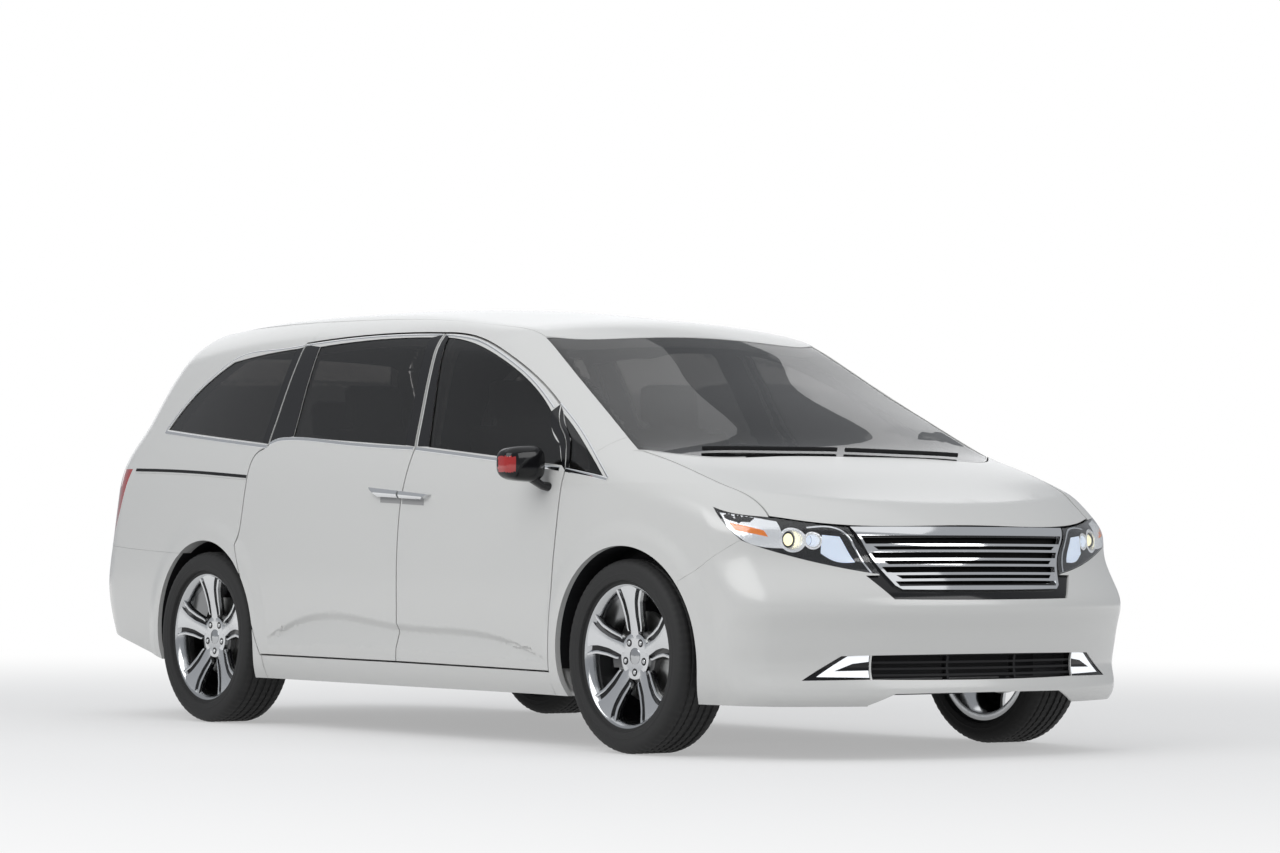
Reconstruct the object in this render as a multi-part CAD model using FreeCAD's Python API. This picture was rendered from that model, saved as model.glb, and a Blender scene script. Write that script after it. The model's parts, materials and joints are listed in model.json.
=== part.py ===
import FreeCAD
import Part
import math
import os
from bisect import bisect_right

os.makedirs("parts", exist_ok=True)
V = FreeCAD.Vector

# Overall sizes. X runs forward, Y to the left, Z up. The origin is on the ground, midway along the body.
LENGTH = 5150.0
WHEELBASE = 3000.0
FRONT_OVERHANG = 935.0
HALF_WIDTH = 990.0
SILL_HEIGHT = 200.0
BELT_HEIGHT = 1150.0
ROOF_HEIGHT = 1741.0

# Wheels
TYRE_RADIUS = 360.0
TYRE_WIDTH = 236.0
RIM_EDGE_RADIUS = 277.0
RIM_WIDTH = 214.0
RIM_WALL = 9.0
HALF_TRACK = 867.0
HUB_RADIUS = 74.0
HUB_BORE = 26.0
LUG_CIRCLE = 60.0
LUG_COUNT = 5
LUG_WELL = 13.0
LUG_NUT = 9.5
SPOKE_COUNT = 5
DISC_RADIUS = 160.0
DISC_THICKNESS = 26.0
ARCH_CLEARANCE = 48.0
SPINDLE_FIT = 0.5

# Body walls and gaps
ROOF_WALL = 40.0
BONNET_WALL = 14.0
TAILGATE_WALL = 45.0
LENS = 4.0
BOWL_DEPTH = 48.0
BOWL_RIM = 7.0
LAMP_DEPTH = 48.0
HEADLAMP_DEPTH = 55.0
DOOR_WALL = 55.0
FRAME_WALL = 26.0
BODY_WALL = 60.0
PANEL_WALL = 12.0
COVER_WALL = 8.0
GLASS = 5.0
GLASS_INSET = 4.0
SEAL = 0.3
SHUT_GAP = 7.0
TAILGATE_GAP = 10.0
FRAME_GAP = 13.0
STRUCTURE_GAP = 22.0
STRUCTURE_WALL = 42.0
FLOOR_WALL = 50.0

# Hinges, strikers and stops
HINGE_FOOT = (1124.0, 978.0, 450.0)
HINGE_TOP = (1174.0, 968.0, 960.0)
HINGE_HEIGHTS = (470.0, 820.0)
HINGE_HEIGHT = 56.0
HINGE_LEAF = 8.0
HINGE_PIN = 4.0
HINGE_REACH = 90.0
DOOR_LEAD_RADIUS = 56.0
DOOR_LEAD_FOOT = 150.0
DOOR_LEAD_LENGTH = 1500.0
DOOR_LEAD_TOP = 1010.0
DOOR_LEAD_X = 1095.0
DOOR_LEAD_Y = 961.0
DOOR_SHOULDER_Y = 925.0
DOOR_SHOULDER_TOP = 1064.0
HINGE_POCKET = 3.0
HINGE_LIFT = 14.0
HINGE_CAP = 2.0
TAILGATE_AXIS = (-2100.0, 1548.0)
TAILGATE_LEAD_RADIUS = 152.0
TAILGATE_LEAD_GAP = 5.5
TAILGATE_FLANGE = 12.0
TAILGATE_FLANGE_WIDTH = 28.0
TAILGATE_PIN = 6.0
TAILGATE_PIN_FIT = 0.5
TAILGATE_PIN_REACH = (505.0, 605.0)
TAILGATE_NOTCH_RADIUS = 42.0
TAILGATE_NOTCH_Y = 549.0
PEG_RADIUS = 8.0
STOP_GAP = 0.6

# Steering
KINGPIN_TOP_Y = 650.0
KINGPIN_TOP_Z = 900.0
KINGPIN_FOOT_Y = 805.0
KINGPIN_FOOT_Z = 205.0
STEERING_WHEEL_RADIUS = 188.0
STEERING_WHEEL_GRIP = 15.0
STEERING_TILT = 25.0

# Floor and running gear
FLOOR_TOP = 350.0
LIFT_PAD_STATIONS = (950.0, -750.0)
LIFT_PAD_Y = 800.0
LIFT_PAD_SIZE = 90.0
LIFT_PAD_DEPTH = 12.0
LOAD_FLOOR_WALL = 40.0
LOAD_FLOOR_X = -1950.0
COWL_WALL = 10.0
COWL_LAP = 45.0
COWL_LIP = 11.0
COWL_CORNER = -7.0
COWL_SHARE = 0.96
FIREWALL_TOP = 1045.0
LINER_FOOT = 240.0
LINER_CLEARANCE = 55.0
LINER_WALL = 6.0
SPRING_RADIUS = 58.0
STRUT_RADIUS = 25.0
BALL_PAD = 0.4
BALL_RADIUS = 12.0
ARM_PLATE = 18.0
KNUCKLE_CLEARANCE = 10.0
SPRING_CLEARANCE = 24.0
PANEL_GAP = 0.8
BRAKE_CLEARANCE = 5.0

FRONT_AXLE_X = LENGTH / 2 - FRONT_OVERHANG
REAR_AXLE_X = FRONT_AXLE_X - WHEELBASE
ARCH_RADIUS = TYRE_RADIUS + ARCH_CLEARANCE
LINER_RADIUS = TYRE_RADIUS + LINER_CLEARANCE

# The styling lines below are drawn at these stations and heights, and stretch with the sizes above.
DRAWN_STATIONS = (-2575.0, -1360.0, 1640.0, 2575.0)
BUILT_STATIONS = (-LENGTH / 2, REAR_AXLE_X, FRONT_AXLE_X, LENGTH / 2)
DRAWN_HEIGHTS = (0.0, 200.0, 1150.0, 1741.0)
BUILT_HEIGHTS = (0.0, SILL_HEIGHT, BELT_HEIGHT, ROOF_HEIGHT)
DRAWN_HALF_WIDTH = 990.0
DRAWN_AXLES = (1640.0, -1360.0)


def stretch(value, drawn, built):
    """Carry a drawn coordinate to the built one, in straight runs between the marks."""
    i = min(max(bisect_right(drawn, value) - 1, 0), len(drawn) - 2)
    share = (value - drawn[i]) / (drawn[i + 1] - drawn[i])
    return built[i] + share * (built[i + 1] - built[i])


def sx(x):
    return stretch(x, DRAWN_STATIONS, BUILT_STATIONS)


def sy(y):
    return y * HALF_WIDTH / DRAWN_HALF_WIDTH


def sz(z):
    return stretch(z, DRAWN_HEIGHTS, BUILT_HEIGHTS)


def at(x, y, z):
    return V(sx(x), sy(y), sz(z))


class Curve:
    """Smooth natural cubic through (station, value) pairs."""

    def __init__(self, pairs):
        self.s = [float(p[0]) for p in pairs]
        self.v = [float(p[1]) for p in pairs]
        n = len(pairs)
        self.h = h = [self.s[i + 1] - self.s[i] for i in range(n - 1)]
        diagonal = [1.0] * n
        upper_band = [0.0] * n
        m = [0.0] * n
        for i in range(1, n - 1):
            weight = h[i - 1] / diagonal[i - 1]
            diagonal[i] = 2 * (h[i - 1] + h[i]) - weight * upper_band[i - 1]
            upper_band[i] = h[i]
            rise = (self.v[i + 1] - self.v[i]) / h[i] - (self.v[i] - self.v[i - 1]) / h[i - 1]
            m[i] = 6 * rise - weight * m[i - 1]
        m[-1] = 0.0
        for i in range(n - 2, 0, -1):
            m[i] = (m[i] - upper_band[i] * m[i + 1]) / diagonal[i]
        self.m = m
        self.start = (self.v[1] - self.v[0]) / h[0] - h[0] * (2 * m[0] + m[1]) / 6
        self.end = (self.v[-1] - self.v[-2]) / h[-1] + h[-1] * (2 * m[-1] + m[-2]) / 6

    def __call__(self, t):
        s, v, m = self.s, self.v, self.m
        if t <= s[0]:
            return v[0] + self.start * (t - s[0])
        if t >= s[-1]:
            return v[-1] + self.end * (t - s[-1])
        i = bisect_right(s, t) - 1
        a, b, h = s[i + 1] - t, t - s[i], self.h[i]
        bend = (m[i] * a ** 3 + m[i + 1] * b ** 3) / (6 * h)
        return bend + (v[i] / h - m[i] * h / 6) * a + (v[i + 1] / h - m[i + 1] * h / 6) * b


# Plan, section and profile lines of the body skin
PLAN = Curve([(-2570, -90), (-2200, -58), (-1360, -12), (-500, -3), (300, -2), (900, -5), (1640, -2),
              (2200, -62), (2570, -93)])
SECTION = Curve([(100, -110), (200, -46), (250, -24), (310, -12), (400, -5), (520, -1), (650, 0),
                 (820, -6), (960, -13), (1060, -26), (1150, -48), (1250, -86), (1400, -144), (1550, -211),
                 (1650, -266), (1750, -329)])
ROOF = Curve([(-2700, 1500), (-2400, 1622), (-2100, 1677), (-1700, 1716), (-1100, 1741), (-500, 1741),
              (0, 1718), (400, 1683), (800, 1658), (1200, 1605)])
SCREEN = Curve([(200, 1879), (700, 1644), (1000, 1483), (1300, 1334), (1650, 1145), (1900, 979)])
BONNET = Curve([(1400, 1165), (1700, 1123), (2000, 1037), (2250, 949), (2400, 895), (2500, 839), (2650, 740)])
NOSE = Curve([(100, 2470), (170, 2500), (200, 2530), (235, 2548), (270, 2546), (300, 2536), (340, 2530),
              (400, 2540), (480, 2557), (560, 2574), (640, 2533), (740, 2478), (840, 2463), (900, 2417),
              (1000, 2346)])
TAIL = Curve([(100, -2400), (200, -2440), (350, -2505), (560, -2575), (700, -2555), (850, -2524),
              (1000, -2498), (1100, -2478), (1250, -2378), (1400, -2310), (1550, -2222), (1650, -2150),
              (1750, -2062)])
ROOF_CROWN = 51.5
SCREEN_CROWN = 61.6
BONNET_CROWN = (18.5, 8.0)
NOSE_SWEEP = (121.0, 22.6)
TAIL_SWEEP = (91.0, 12.0)
CROWN_REACH = 700.0
RAIL_ROUND = 110.0
NOSE_ROUND = 90.0
TAIL_ROUND = 166.0

# Lower door groove: top edge, crease and bottom edge heights along the body
GROOVE_TOP = Curve([(-893, 358), (-559, 467), (136, 452), (928, 400), (1165, 330)])
GROOVE_CREASE = Curve([(-893, 352), (-560, 434), (134, 416), (965, 372), (1165, 327)])
GROOVE_FOOT = Curve([(-893, 338), (-560, 345), (124, 349), (700, 338), (1165, 322)])
GROOVE_DEPTH = 17.0
FLARE_HEIGHT = 11.0
FLARE_FLAT = 34.0
FLARE_FADE = 75.0
RECESS_START = FLARE_HEIGHT + 6.0


def meet(a, b, radius):
    """Inside of both, with the edge between them rounded to the radius."""
    u, v = max(a + radius, 0.0), max(b + radius, 0.0)
    return min(max(a, b), -radius) + math.sqrt(u * u + v * v)


def upper(a, b, blend):
    return 0.5 * (a + b + math.sqrt((a - b) ** 2 + blend * blend))


def lower(a, b, blend):
    return 0.5 * (a + b - math.sqrt((a - b) ** 2 + blend * blend))


def ramp(t):
    t = min(max(t, 0.0), 1.0)
    return t * t * (3 - 2 * t)


def flare(x, z):
    """Raised lip round each wheel arch."""
    total = 0.0
    for axle in DRAWN_AXLES:
        r = math.hypot(x - axle, z - TYRE_RADIUS)
        total += FLARE_HEIGHT * (1 - ramp((r - ARCH_RADIUS - FLARE_FLAT) / FLARE_FADE))
    return total


def groove(x, z):
    """Pressed groove low on the doors, with a steep upper side and a broad ledge below."""
    if not -893 < x < 1165 or not 300 < z < 500:
        return 0.0
    top, crease, foot = GROOVE_TOP(x), GROOVE_CREASE(x), GROOVE_FOOT(x)
    depth = GROOVE_DEPTH * ramp((x + 893) / 160) * ramp((1165 - x) / 160)
    if z >= crease:
        return depth * ramp((top - z) / max(top - crease, 1.0))
    return depth * min(max((z - foot) / max(crease - foot, 1.0), 0.0), 1.0)


def half_width(x, z):
    rise = min(max((z - 1000.0) / 600.0, 0.0), 1.3)
    front_taper = 67.0 * min(max((x - 300.0) / 1000.0, 0.0), 2.0) ** 2
    rear_taper = 58.0 * min(max((-x - 900.0) / 1200.0, 0.0), 2.0) ** 2
    return DRAWN_HALF_WIDTH + PLAN(x) + SECTION(z) - rise * (front_taper + rear_taper)


def top_height(x, y):
    q = (y / CROWN_REACH) ** 2
    roof = ROOF(x) - ROOF_CROWN * q
    screen = SCREEN(x) - SCREEN_CROWN * q
    bonnet = BONNET(x) - BONNET_CROWN[0] * q - BONNET_CROWN[1] * q * q
    return upper(bonnet, lower(screen, roof, 45.0), 50.0)


def skin(x, y, z, pressed=False):
    """Below zero inside the body, above zero outside, near a distance in millimetres."""
    y = abs(y)
    q = (y / CROWN_REACH) ** 2
    side = y - half_width(x, z)
    if pressed:
        side += groove(x, z) - flare(x, z)
    top = (z - top_height(x, y)) * 0.93
    front = (x - NOSE(z) + NOSE_SWEEP[0] * q + NOSE_SWEEP[1] * q * q) * 0.95
    rear = (TAIL(z) + TAIL_SWEEP[0] * q + TAIL_SWEEP[1] * q * q - x) * 0.95
    return meet(meet(meet(side, top, RAIL_ROUND), front, NOSE_ROUND), rear, TAIL_ROUND)


def reach(origin, way, far, pressed):
    """Point where a ray from inside the body leaves the skin, with or without its pressed lines."""
    def value(r):
        return skin(origin[0] + way[0] * r, origin[1] + way[1] * r, origin[2] + way[2] * r, pressed)
    a, b = 10.0, far
    fa, fb = value(a), value(b)
    for _ in range(60):
        c = b - fb * (b - a) / (fb - fa)
        fc = value(c)
        if fc * fb < 0:
            a, fa = b, fb
        else:
            fa *= 0.5
        b, fb = c, fc
        if abs(fc) < 1e-4:
            break
    return [origin[i] + way[i] * b for i in range(3)]


def outward(p):
    """Unit normal of the plain skin."""
    x, y, z = p
    g = (skin(x + 1, y, z) - skin(x - 1, y, z), skin(x, y + 1, z) - skin(x, y - 1, z),
         skin(x, y, z + 1) - skin(x, y, z - 1))
    n = math.sqrt(g[0] ** 2 + g[1] ** 2 + g[2] ** 2)
    return [c / n for c in g]


# Ways to sweep the skin: round the side, over the top, round the nose and round the tail
RING_CENTRE = (350.0, 780.0)
FAN_CENTRE = (1700.0, 400.0)
NOSE_CENTRE = 1500.0
TAIL_CENTRE = -1400.0
GLOBE_CENTRE = (-1500.0, 0.0, 1000.0)


def ring(x, angle, pressed=False):
    a = math.radians(angle)
    return reach((x, RING_CENTRE[0], RING_CENTRE[1]), (0.0, math.cos(a), math.sin(a)), 1300.0, pressed)


def fan(angle, y, pressed=False):
    a = math.radians(angle)
    return reach((FAN_CENTRE[0], y, FAN_CENTRE[1]), (math.sin(a), 0.0, math.cos(a)), 1500.0, pressed)


def lid(x, y, pressed=False):
    return reach((x, y, 900.0), (0.0, 0.0, 1.0), 1300.0, pressed)


def nose(angle, z, pressed=False):
    a = math.radians(angle)
    return reach((NOSE_CENTRE, 0.0, z), (math.cos(a), math.sin(a), 0.0), 1600.0, pressed)


def tail(angle, z, pressed=False):
    a = math.radians(angle)
    return reach((TAIL_CENTRE, 0.0, z), (-math.cos(a), math.sin(a), 0.0), 1900.0, pressed)


def globe(bearing, rise, pressed=False):
    a, b = math.radians(bearing), math.radians(rise)
    way = (-math.cos(a) * math.cos(b), math.sin(a) * math.cos(b), math.sin(b))
    return reach(GLOBE_CENTRE, way, 1700.0, pressed)


def spread(a, b, n):
    return [a + (b - a) * i / (n - 1) for i in range(n)]


def smooth_surface(rows):
    s = Part.BSplineSurface()
    s.interpolate(rows)
    return s


def slab(sweep, us, vs, wall, start=0.0):
    """Solid between two offsets of the skin, over one sweep of it."""
    outer, inner = [], []
    for u in us:
        near, deep = [], []
        for v in vs:
            p = sweep(u, v)
            n = outward(p)
            t = wall(p) if callable(wall) else wall
            if start == 0.0:
                near.append(at(*sweep(u, v, True)))
            else:
                near.append(at(*[p[i] - n[i] * start for i in range(3)]))
            deep.append(at(*[p[i] - n[i] * (start + t) for i in range(3)]))
        outer.append(near)
        inner.append(deep)
    a, b = smooth_surface(outer), smooth_surface(inner)
    u0, u1, v0, v1 = a.bounds()
    faces = [a.toShape(), b.toShape()]
    for p, q in ((a.uIso(u0), b.uIso(u0)), (a.uIso(u1), b.uIso(u1)), (a.vIso(v0), b.vIso(v0)),
                 (a.vIso(v1), b.vIso(v1))):
        faces.append(Part.makeRuledSurface(p.toShape(), q.toShape()))
    shell = Part.makeShell(faces)
    shell.sewShape()
    return outwards(Part.makeSolid(shell))


def outwards(solid):
    if solid.Volume < 0:
        solid.reverse()
    return solid


def run(points):
    """One edge: straight between two points, or a smooth curve through more."""
    if len(points) == 2:
        return Part.LineSegment(points[0], points[1]).toShape()
    curve = Part.BSplineCurve()
    curve.interpolate(points)
    return curve.toShape()


def offset_runs(runs, distance):
    """Move a closed outline of plane runs outwards by a distance, with sharp corners kept."""
    area = 0.0
    chain = [p for r in runs for p in r[:-1]]
    for i, p in enumerate(chain):
        q = chain[(i + 1) % len(chain)]
        area += p[0] * q[1] - q[0] * p[1]
    turn = 1.0 if area > 0 else -1.0
    moved, ends = [], []
    for r in runs:
        tangents = []
        for i, p in enumerate(r):
            a = r[max(i - 1, 0)]
            b = r[min(i + 1, len(r) - 1)]
            if len(r) > 2 and i == 0:
                a, b = r[0], r[1]
            n = math.hypot(b[0] - a[0], b[1] - a[1])
            tangents.append(((b[0] - a[0]) / n, (b[1] - a[1]) / n))
        moved.append([(p[0] + turn * t[1] * distance, p[1] - turn * t[0] * distance)
                      for p, t in zip(r, tangents)])
        ends.append((tangents[0], tangents[-1]))
    for i in range(len(moved)):
        j = (i + 1) % len(moved)
        p, t = moved[i][-1], ends[i][1]
        q, s = moved[j][0], ends[j][0]
        cross = t[0] * s[1] - t[1] * s[0]
        if abs(cross) < 0.03:
            corner = ((p[0] + q[0]) / 2, (p[1] + q[1]) / 2)
        else:
            k = ((q[0] - p[0]) * s[1] - (q[1] - p[1]) * s[0]) / cross
            corner = (p[0] + t[0] * k, p[1] + t[1] * k)
        moved[i][-1] = corner
        moved[j][0] = corner
    return moved


def side_prism(runs, grow=0.0, y0=200.0, y1=1200.0):
    """Outline drawn in side view, pushed across the left half of the body."""
    edges = [run([at(p[0], y0, p[1]) for p in r]) for r in offset_runs(runs, grow)]
    return Part.Face(Part.Wire(Part.__sortEdges__(edges))).extrude(V(0, y1 - y0, 0))


def top_prism(runs, grow=0.0, z0=600.0, z1=1900.0):
    """Outline drawn from above, pushed upwards."""
    edges = [run([at(p[0], p[1], z0) for p in r]) for r in offset_runs(runs, grow)]
    return Part.Face(Part.Wire(Part.__sortEdges__(edges))).extrude(V(0, 0, z1 - z0))


def front_prism(runs, grow=0.0, x0=1500.0, x1=2800.0):
    """Outline drawn from the front as (y, z), pushed along the body."""
    edges = [run([at(x0, p[0], p[1]) for p in r]) for r in offset_runs(runs, grow)]
    return Part.Face(Part.Wire(Part.__sortEdges__(edges))).extrude(V(x1 - x0, 0, 0))


def tail_prism(runs, grow=0.0):
    """Outline drawn from the front, pushed along the back of the body."""
    return front_prism(runs, grow, TAIL_REACH[0], TAIL_REACH[1])


def slant_prism(runs, bearing, grow=0.0, depth=500.0):
    """Outline of (x, y, z) points seen along a level bearing in degrees, pushed both ways."""
    a = math.radians(bearing)
    way = (math.cos(a), math.sin(a))
    flat = [[(-p[0] * way[1] + p[1] * way[0], p[2]) for p in r] for r in runs]
    points = [p for r in runs for p in r]
    mid = sum(p[0] * way[0] + p[1] * way[1] for p in points) / len(points)

    def lift(q):
        across, along = q[0], mid - depth
        return at(along * way[0] - across * way[1], along * way[1] + across * way[0], q[1])
    edges = [run([lift(p) for p in r]) for r in offset_runs(flat, grow)]
    face = Part.Face(Part.Wire(Part.__sortEdges__(edges)))
    return face.extrude(V(way[0] * 2 * depth, way[1] * 2 * depth, 0))


def box(x0, x1, y0, y1, z0, z1):
    return Part.makeBox(x1 - x0, y1 - y0, z1 - z0, V(x0, y0, z0))


def room(x0, x1, y0, y1, z0, z1):
    """Box between drawn coordinates."""
    a, b = at(x0, y0, z0), at(x1, y1, z1)
    return box(a.x, b.x, a.y, b.y, a.z, b.z)


def mirrored(shape):
    return shape.mirror(V(0, 0, 0), V(0, 1, 0))


def both(shape):
    return Part.makeCompound([shape, mirrored(shape)])


def largest(shape):
    return max(shape.Solids, key=lambda s: s.Volume)


def fused(shapes):
    whole = shapes[0]
    if len(shapes) > 1:
        whole = whole.fuse(shapes[1:])
    return whole.removeSplitter()


def save(name, shape):
    shape.exportStep("parts/" + name + ".step")


# Shut lines in side view, as (x, z)
DOOR_FRONT_CUT = [(1170, 290), (1190, 505), (1204, 697), (1226, 900), (1240, 1024)]
DIVIDER = [(1240, 1024), (1241, 1062), (1190, 1160), (1090, 1242), (1050, 1303)]
CROWN_LINE_FRONT = [(1050, 1303), (847, 1409), (603, 1509), (328, 1584), (75, 1610)]
CROWN_LINE_MIDDLE = [(75, 1610), (-401, 1618), (-930, 1597)]
CROWN_LINE_REAR = [(-930, 1597), (-1134, 1583), (-1512, 1546), (-1672, 1457), (-1820, 1345), (-1905, 1242)]
B_CUT_LOWER = [(112, 297), (130, 700), (138, 900), (155, 1000), (190, 1143)]
B_CUT_UPPER = [(190, 1143), (75, 1610)]
DOOR_FOOT_FRONT = [(1170, 290), (112, 297)]
DOOR_FOOT_REAR = [(112, 297), (-905, 298)]
C_CUT_FOOT = [(-1105, 751), (-905, 298)]
C_CUT_WAIST = [(-962, 1152), (-1033, 1103), (-1050, 1015), (-1065, 889), (-1105, 751)]
C_CUT_KINK = [(-962, 1152), (-930, 1168)]
C_CUT_UPPER = [(-930, 1168), (-930, 1597)]

FRONT_DOOR = [DOOR_FOOT_FRONT[::-1], DOOR_FRONT_CUT, DIVIDER, CROWN_LINE_FRONT, B_CUT_UPPER[::-1],
              B_CUT_LOWER[::-1]]
SLIDING_DOOR = [DOOR_FOOT_REAR[::-1], B_CUT_LOWER, B_CUT_UPPER, CROWN_LINE_MIDDLE, C_CUT_UPPER[::-1],
                C_CUT_KINK[::-1], C_CUT_WAIST, C_CUT_FOOT]

# Window openings, as (x, z)
FRONT_DOOR_WINDOW = [[(282, 1146), (700, 1112), (1215, 1067)], [(1215, 1067), (1160, 1150)],
                     [(1160, 1150), (1060, 1222), (1025, 1276)],
                     [(1025, 1276), (840, 1384), (603, 1484), (340, 1559), (122, 1590)],
                     [(122, 1590), (282, 1146)]]
SLIDING_WINDOW = [[(-758, 1200), (120, 1154)], [(120, 1154), (7, 1594)],
                  [(7, 1594), (-401, 1597), (-810, 1578)], [(-810, 1578), (-758, 1200)]]
QUARTER_WINDOW = [[(-1880, 1246), (-1500, 1216), (-946, 1174)], [(-946, 1174), (-946, 1577)],
                  [(-946, 1577), (-1134, 1567), (-1490, 1532)],
                  [(-1490, 1532), (-1664, 1447), (-1808, 1337), (-1880, 1246)]]
QUARTER_LIGHT = [[(1262, 1054), (1492, 1026)], [(1492, 1026), (1315, 1146), (1092, 1270)],
                 [(1092, 1270), (1122, 1240), (1212, 1168)], [(1212, 1168), (1262, 1054)]]

# Lines seen from above, as (x, y) on the left half
SCREEN_SIDE = [(1556, 852), (1331, 801), (1101, 751), (875, 706), (690, 668)]
SCREEN_HEAD = [(690, 668), (745, 560), (775, 380), (782, 0)]
SCREEN_FOOT = [(1556, 852), (1640, 780), (1723, 692), (1775, 400), (1790, 0)]
BONNET_SIDE = [(1575, 848), (1800, 830), (1970, 820), (2047, 806), (2120, 782), (2190, 768), (2245, 772)]
ROOF_SIDE = [(690, 668), (300, 650), (-600, 640), (-1500, 600), (-2010, 520)]

# Lamps and bumper lines as (x, y, z) on the skin
HEADLAMP_TOP = [(2081, 903, 912), (2158, 863, 888), (2231, 779, 876), (2295, 681, 860), (2371, 511, 842)]
HEADLAMP_INNER = [(2371, 511, 842), (2462, 436, 672)]
HEADLAMP_FOOT = [(2462, 436, 672), (2382, 633, 708), (2310, 756, 742), (2261, 827, 767), (2211, 875, 792)]
HEADLAMP_OUTER = [(2211, 875, 792), (2178, 891, 822), (2127, 903, 867), (2081, 903, 912)]
HEADLAMP = [HEADLAMP_TOP, HEADLAMP_INNER, HEADLAMP_FOOT, HEADLAMP_OUTER]
HEADLAMP_BEARING = 42.0
LAMP_BOWLS = ((2312, 723, 795, 38.0), (2338, 655, 793, 26.0))
TAIL_LAMP = [[(-2088, 890, 1076), (-2158, 912, 921), (-2290, 890, 742)],
             [(-2290, 890, 742), (-2540, 640, 742)],
             [(-2540, 640, 742), (-2510, 632, 900), (-2480, 600, 1076)],
             [(-2480, 600, 1076), (-2088, 890, 1076)]]
TAIL_LAMP_BEARING = 135.0
TAIL_REACH = (-2800, -1650)

# Front face openings, as (y, z), across the whole front
GRILLE = [[(-511, 844), (0, 846), (511, 844)], [(511, 844), (436, 668)], [(436, 668), (489, 667)],
          [(489, 667), (415, 583)], [(415, 583), (0, 581), (-415, 583)], [(-415, 583), (-489, 667)],
          [(-489, 667), (-436, 668)], [(-436, 668), (-511, 844)]]
AIR_DAM = [[(480, 380), (480, 293)], [(480, 293), (0, 289), (-480, 293)], [(-480, 293), (-480, 380)],
           [(-480, 380), (0, 383), (480, 380)]]
FOG_LAMP = [[(486, 293), (730, 290)], [(730, 290), (592, 378)], [(592, 378), (486, 380)],
            [(486, 380), (486, 293)]]
GRILLE_OPENING = [[(-484, 812), (0, 814), (484, 812)], [(484, 812), (382, 640)], [(382, 640), (364, 630)],
                  [(364, 630), (0, 628), (-364, 630)], [(-364, 630), (-382, 640)], [(-382, 640), (-484, 812)]]
GRILLE_GAPS = ((812, 782), (773, 760), (751, 730), (721, 708), (699, 678), (669, 656), (647, 630))
GRILLE_DEPTH = 10.0
GRILLE_PROUD = 2.0
SURROUND_WALL = 10.0
AIR_DAM_DEPTH = 26.0
FOG_LAMP_INSET = 3.0
CHIN_RECESS = [[(-490, 100), (490, 100)], [(490, 100), (490, 200)], [(490, 200), (395, 241)],
               [(395, 241), (0, 243), (-395, 241)], [(-395, 241), (-490, 200)], [(-490, 200), (-490, 100)]]
AIR_DAM_GAPS = ((378, 358), (350, 335), (327, 312), (304, 292))
AIR_DAM_BAYS = (-322, 0, 322)
TAILGATE = [[(600, 625), (0, 622), (-600, 625)], [(-600, 625), (-585, 1090)], [(-585, 1090), (-760, 1092)],
            [(-760, 1092), (-725, 1250), (-640, 1420), (-520, 1650)],
            [(-520, 1650), (-520, 1800)], [(-520, 1800), (520, 1800)], [(520, 1800), (520, 1650)],
            [(520, 1650), (640, 1420), (725, 1250), (760, 1092)],
            [(760, 1092), (585, 1090)], [(585, 1090), (600, 625)]]
REAR_WINDOW = [[(610, 1185), (0, 1178), (-610, 1185)], [(-610, 1185), (-550, 1400), (-475, 1560)],
               [(-475, 1560), (0, 1580), (475, 1560)], [(475, 1560), (550, 1400), (610, 1185)]]


def arch(axle, radius, y0=500.0, y1=1200.0):
    """Cylinder round a wheel on the left side."""
    return Part.makeCylinder(radius, y1 - y0, V(axle, y0, TYRE_RADIUS), V(0, 1, 0))


BOTH_DOORS = [DOOR_FOOT_REAR[::-1], DOOR_FOOT_FRONT[::-1], DOOR_FRONT_CUT, DIVIDER, CROWN_LINE_FRONT,
              CROWN_LINE_MIDDLE, C_CUT_UPPER[::-1], C_CUT_KINK[::-1], C_CUT_WAIST, C_CUT_FOOT]
FRONT_DOORWAY = [[(1085, 345), (200, 352)], [(200, 352), (225, 700), (262, 1140)], [(262, 1140), (150, 1545)],
                 [(150, 1545), (330, 1530), (590, 1455), (820, 1360), (1000, 1265)],
                 [(1000, 1265), (1125, 1100), (1140, 900)], [(1140, 900), (1085, 345)]]
REAR_DOORWAY = [[(30, 352), (-790, 352)], [(-790, 352), (-905, 620), (-960, 800)],
                [(-960, 800), (-900, 1130)], [(-900, 1130), (-880, 1545)],
                [(-880, 1545), (-401, 1565), (-20, 1555)],
                [(-20, 1555), (95, 1140)], [(95, 1140), (60, 700), (30, 352)]]
SIDE_SEAM_X = -900.0
SIDE_PLAN = [[(1640, 1100), (1640, 905)], [(1640, 905), (1556, 852)], SCREEN_SIDE, ROOF_SIDE,
             [(-2010, 520), (-2700, 520)], [(-2700, 520), (-2700, 1100)], [(-2700, 1100), (1640, 1100)]]
PILLAR_FOOT = [(1533, 1012), (1460, 1065), (1392, 1111)]
BUMPER_LINE = [(2211, 792), (2056, 694), (1955, 640)]
WING = [[(1170, 200), (1170, 290)], DOOR_FRONT_CUT, [(1240, 1024), (1241, 1049)],
        [(1241, 1049), (1533, 1012)], PILLAR_FOOT, [(1392, 1111), (1500, 1215)], [(1500, 1215), (1500, 1400)],
        [(1500, 1400), (2330, 1400)], [(2330, 1400), (2330, 792)], [(2330, 792), (2211, 792)],
        BUMPER_LINE, [(1955, 640), (1955, 200)], [(1955, 200), (1170, 200)]]
BUMPER_SIDE = [[(1500, 100), (1955, 100)], [(1955, 100), (1955, 640)], BUMPER_LINE[::-1],
               [(2211, 792), (2211, 1100)], [(2211, 1100), (1500, 1100)], [(1500, 1100), (1500, 100)]]
HINGE_PILLAR_X = 1285.0
REAR_BUMPER_LINE = [(-2290, 742), (-1900, 722), (-1560, 712)]
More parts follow.
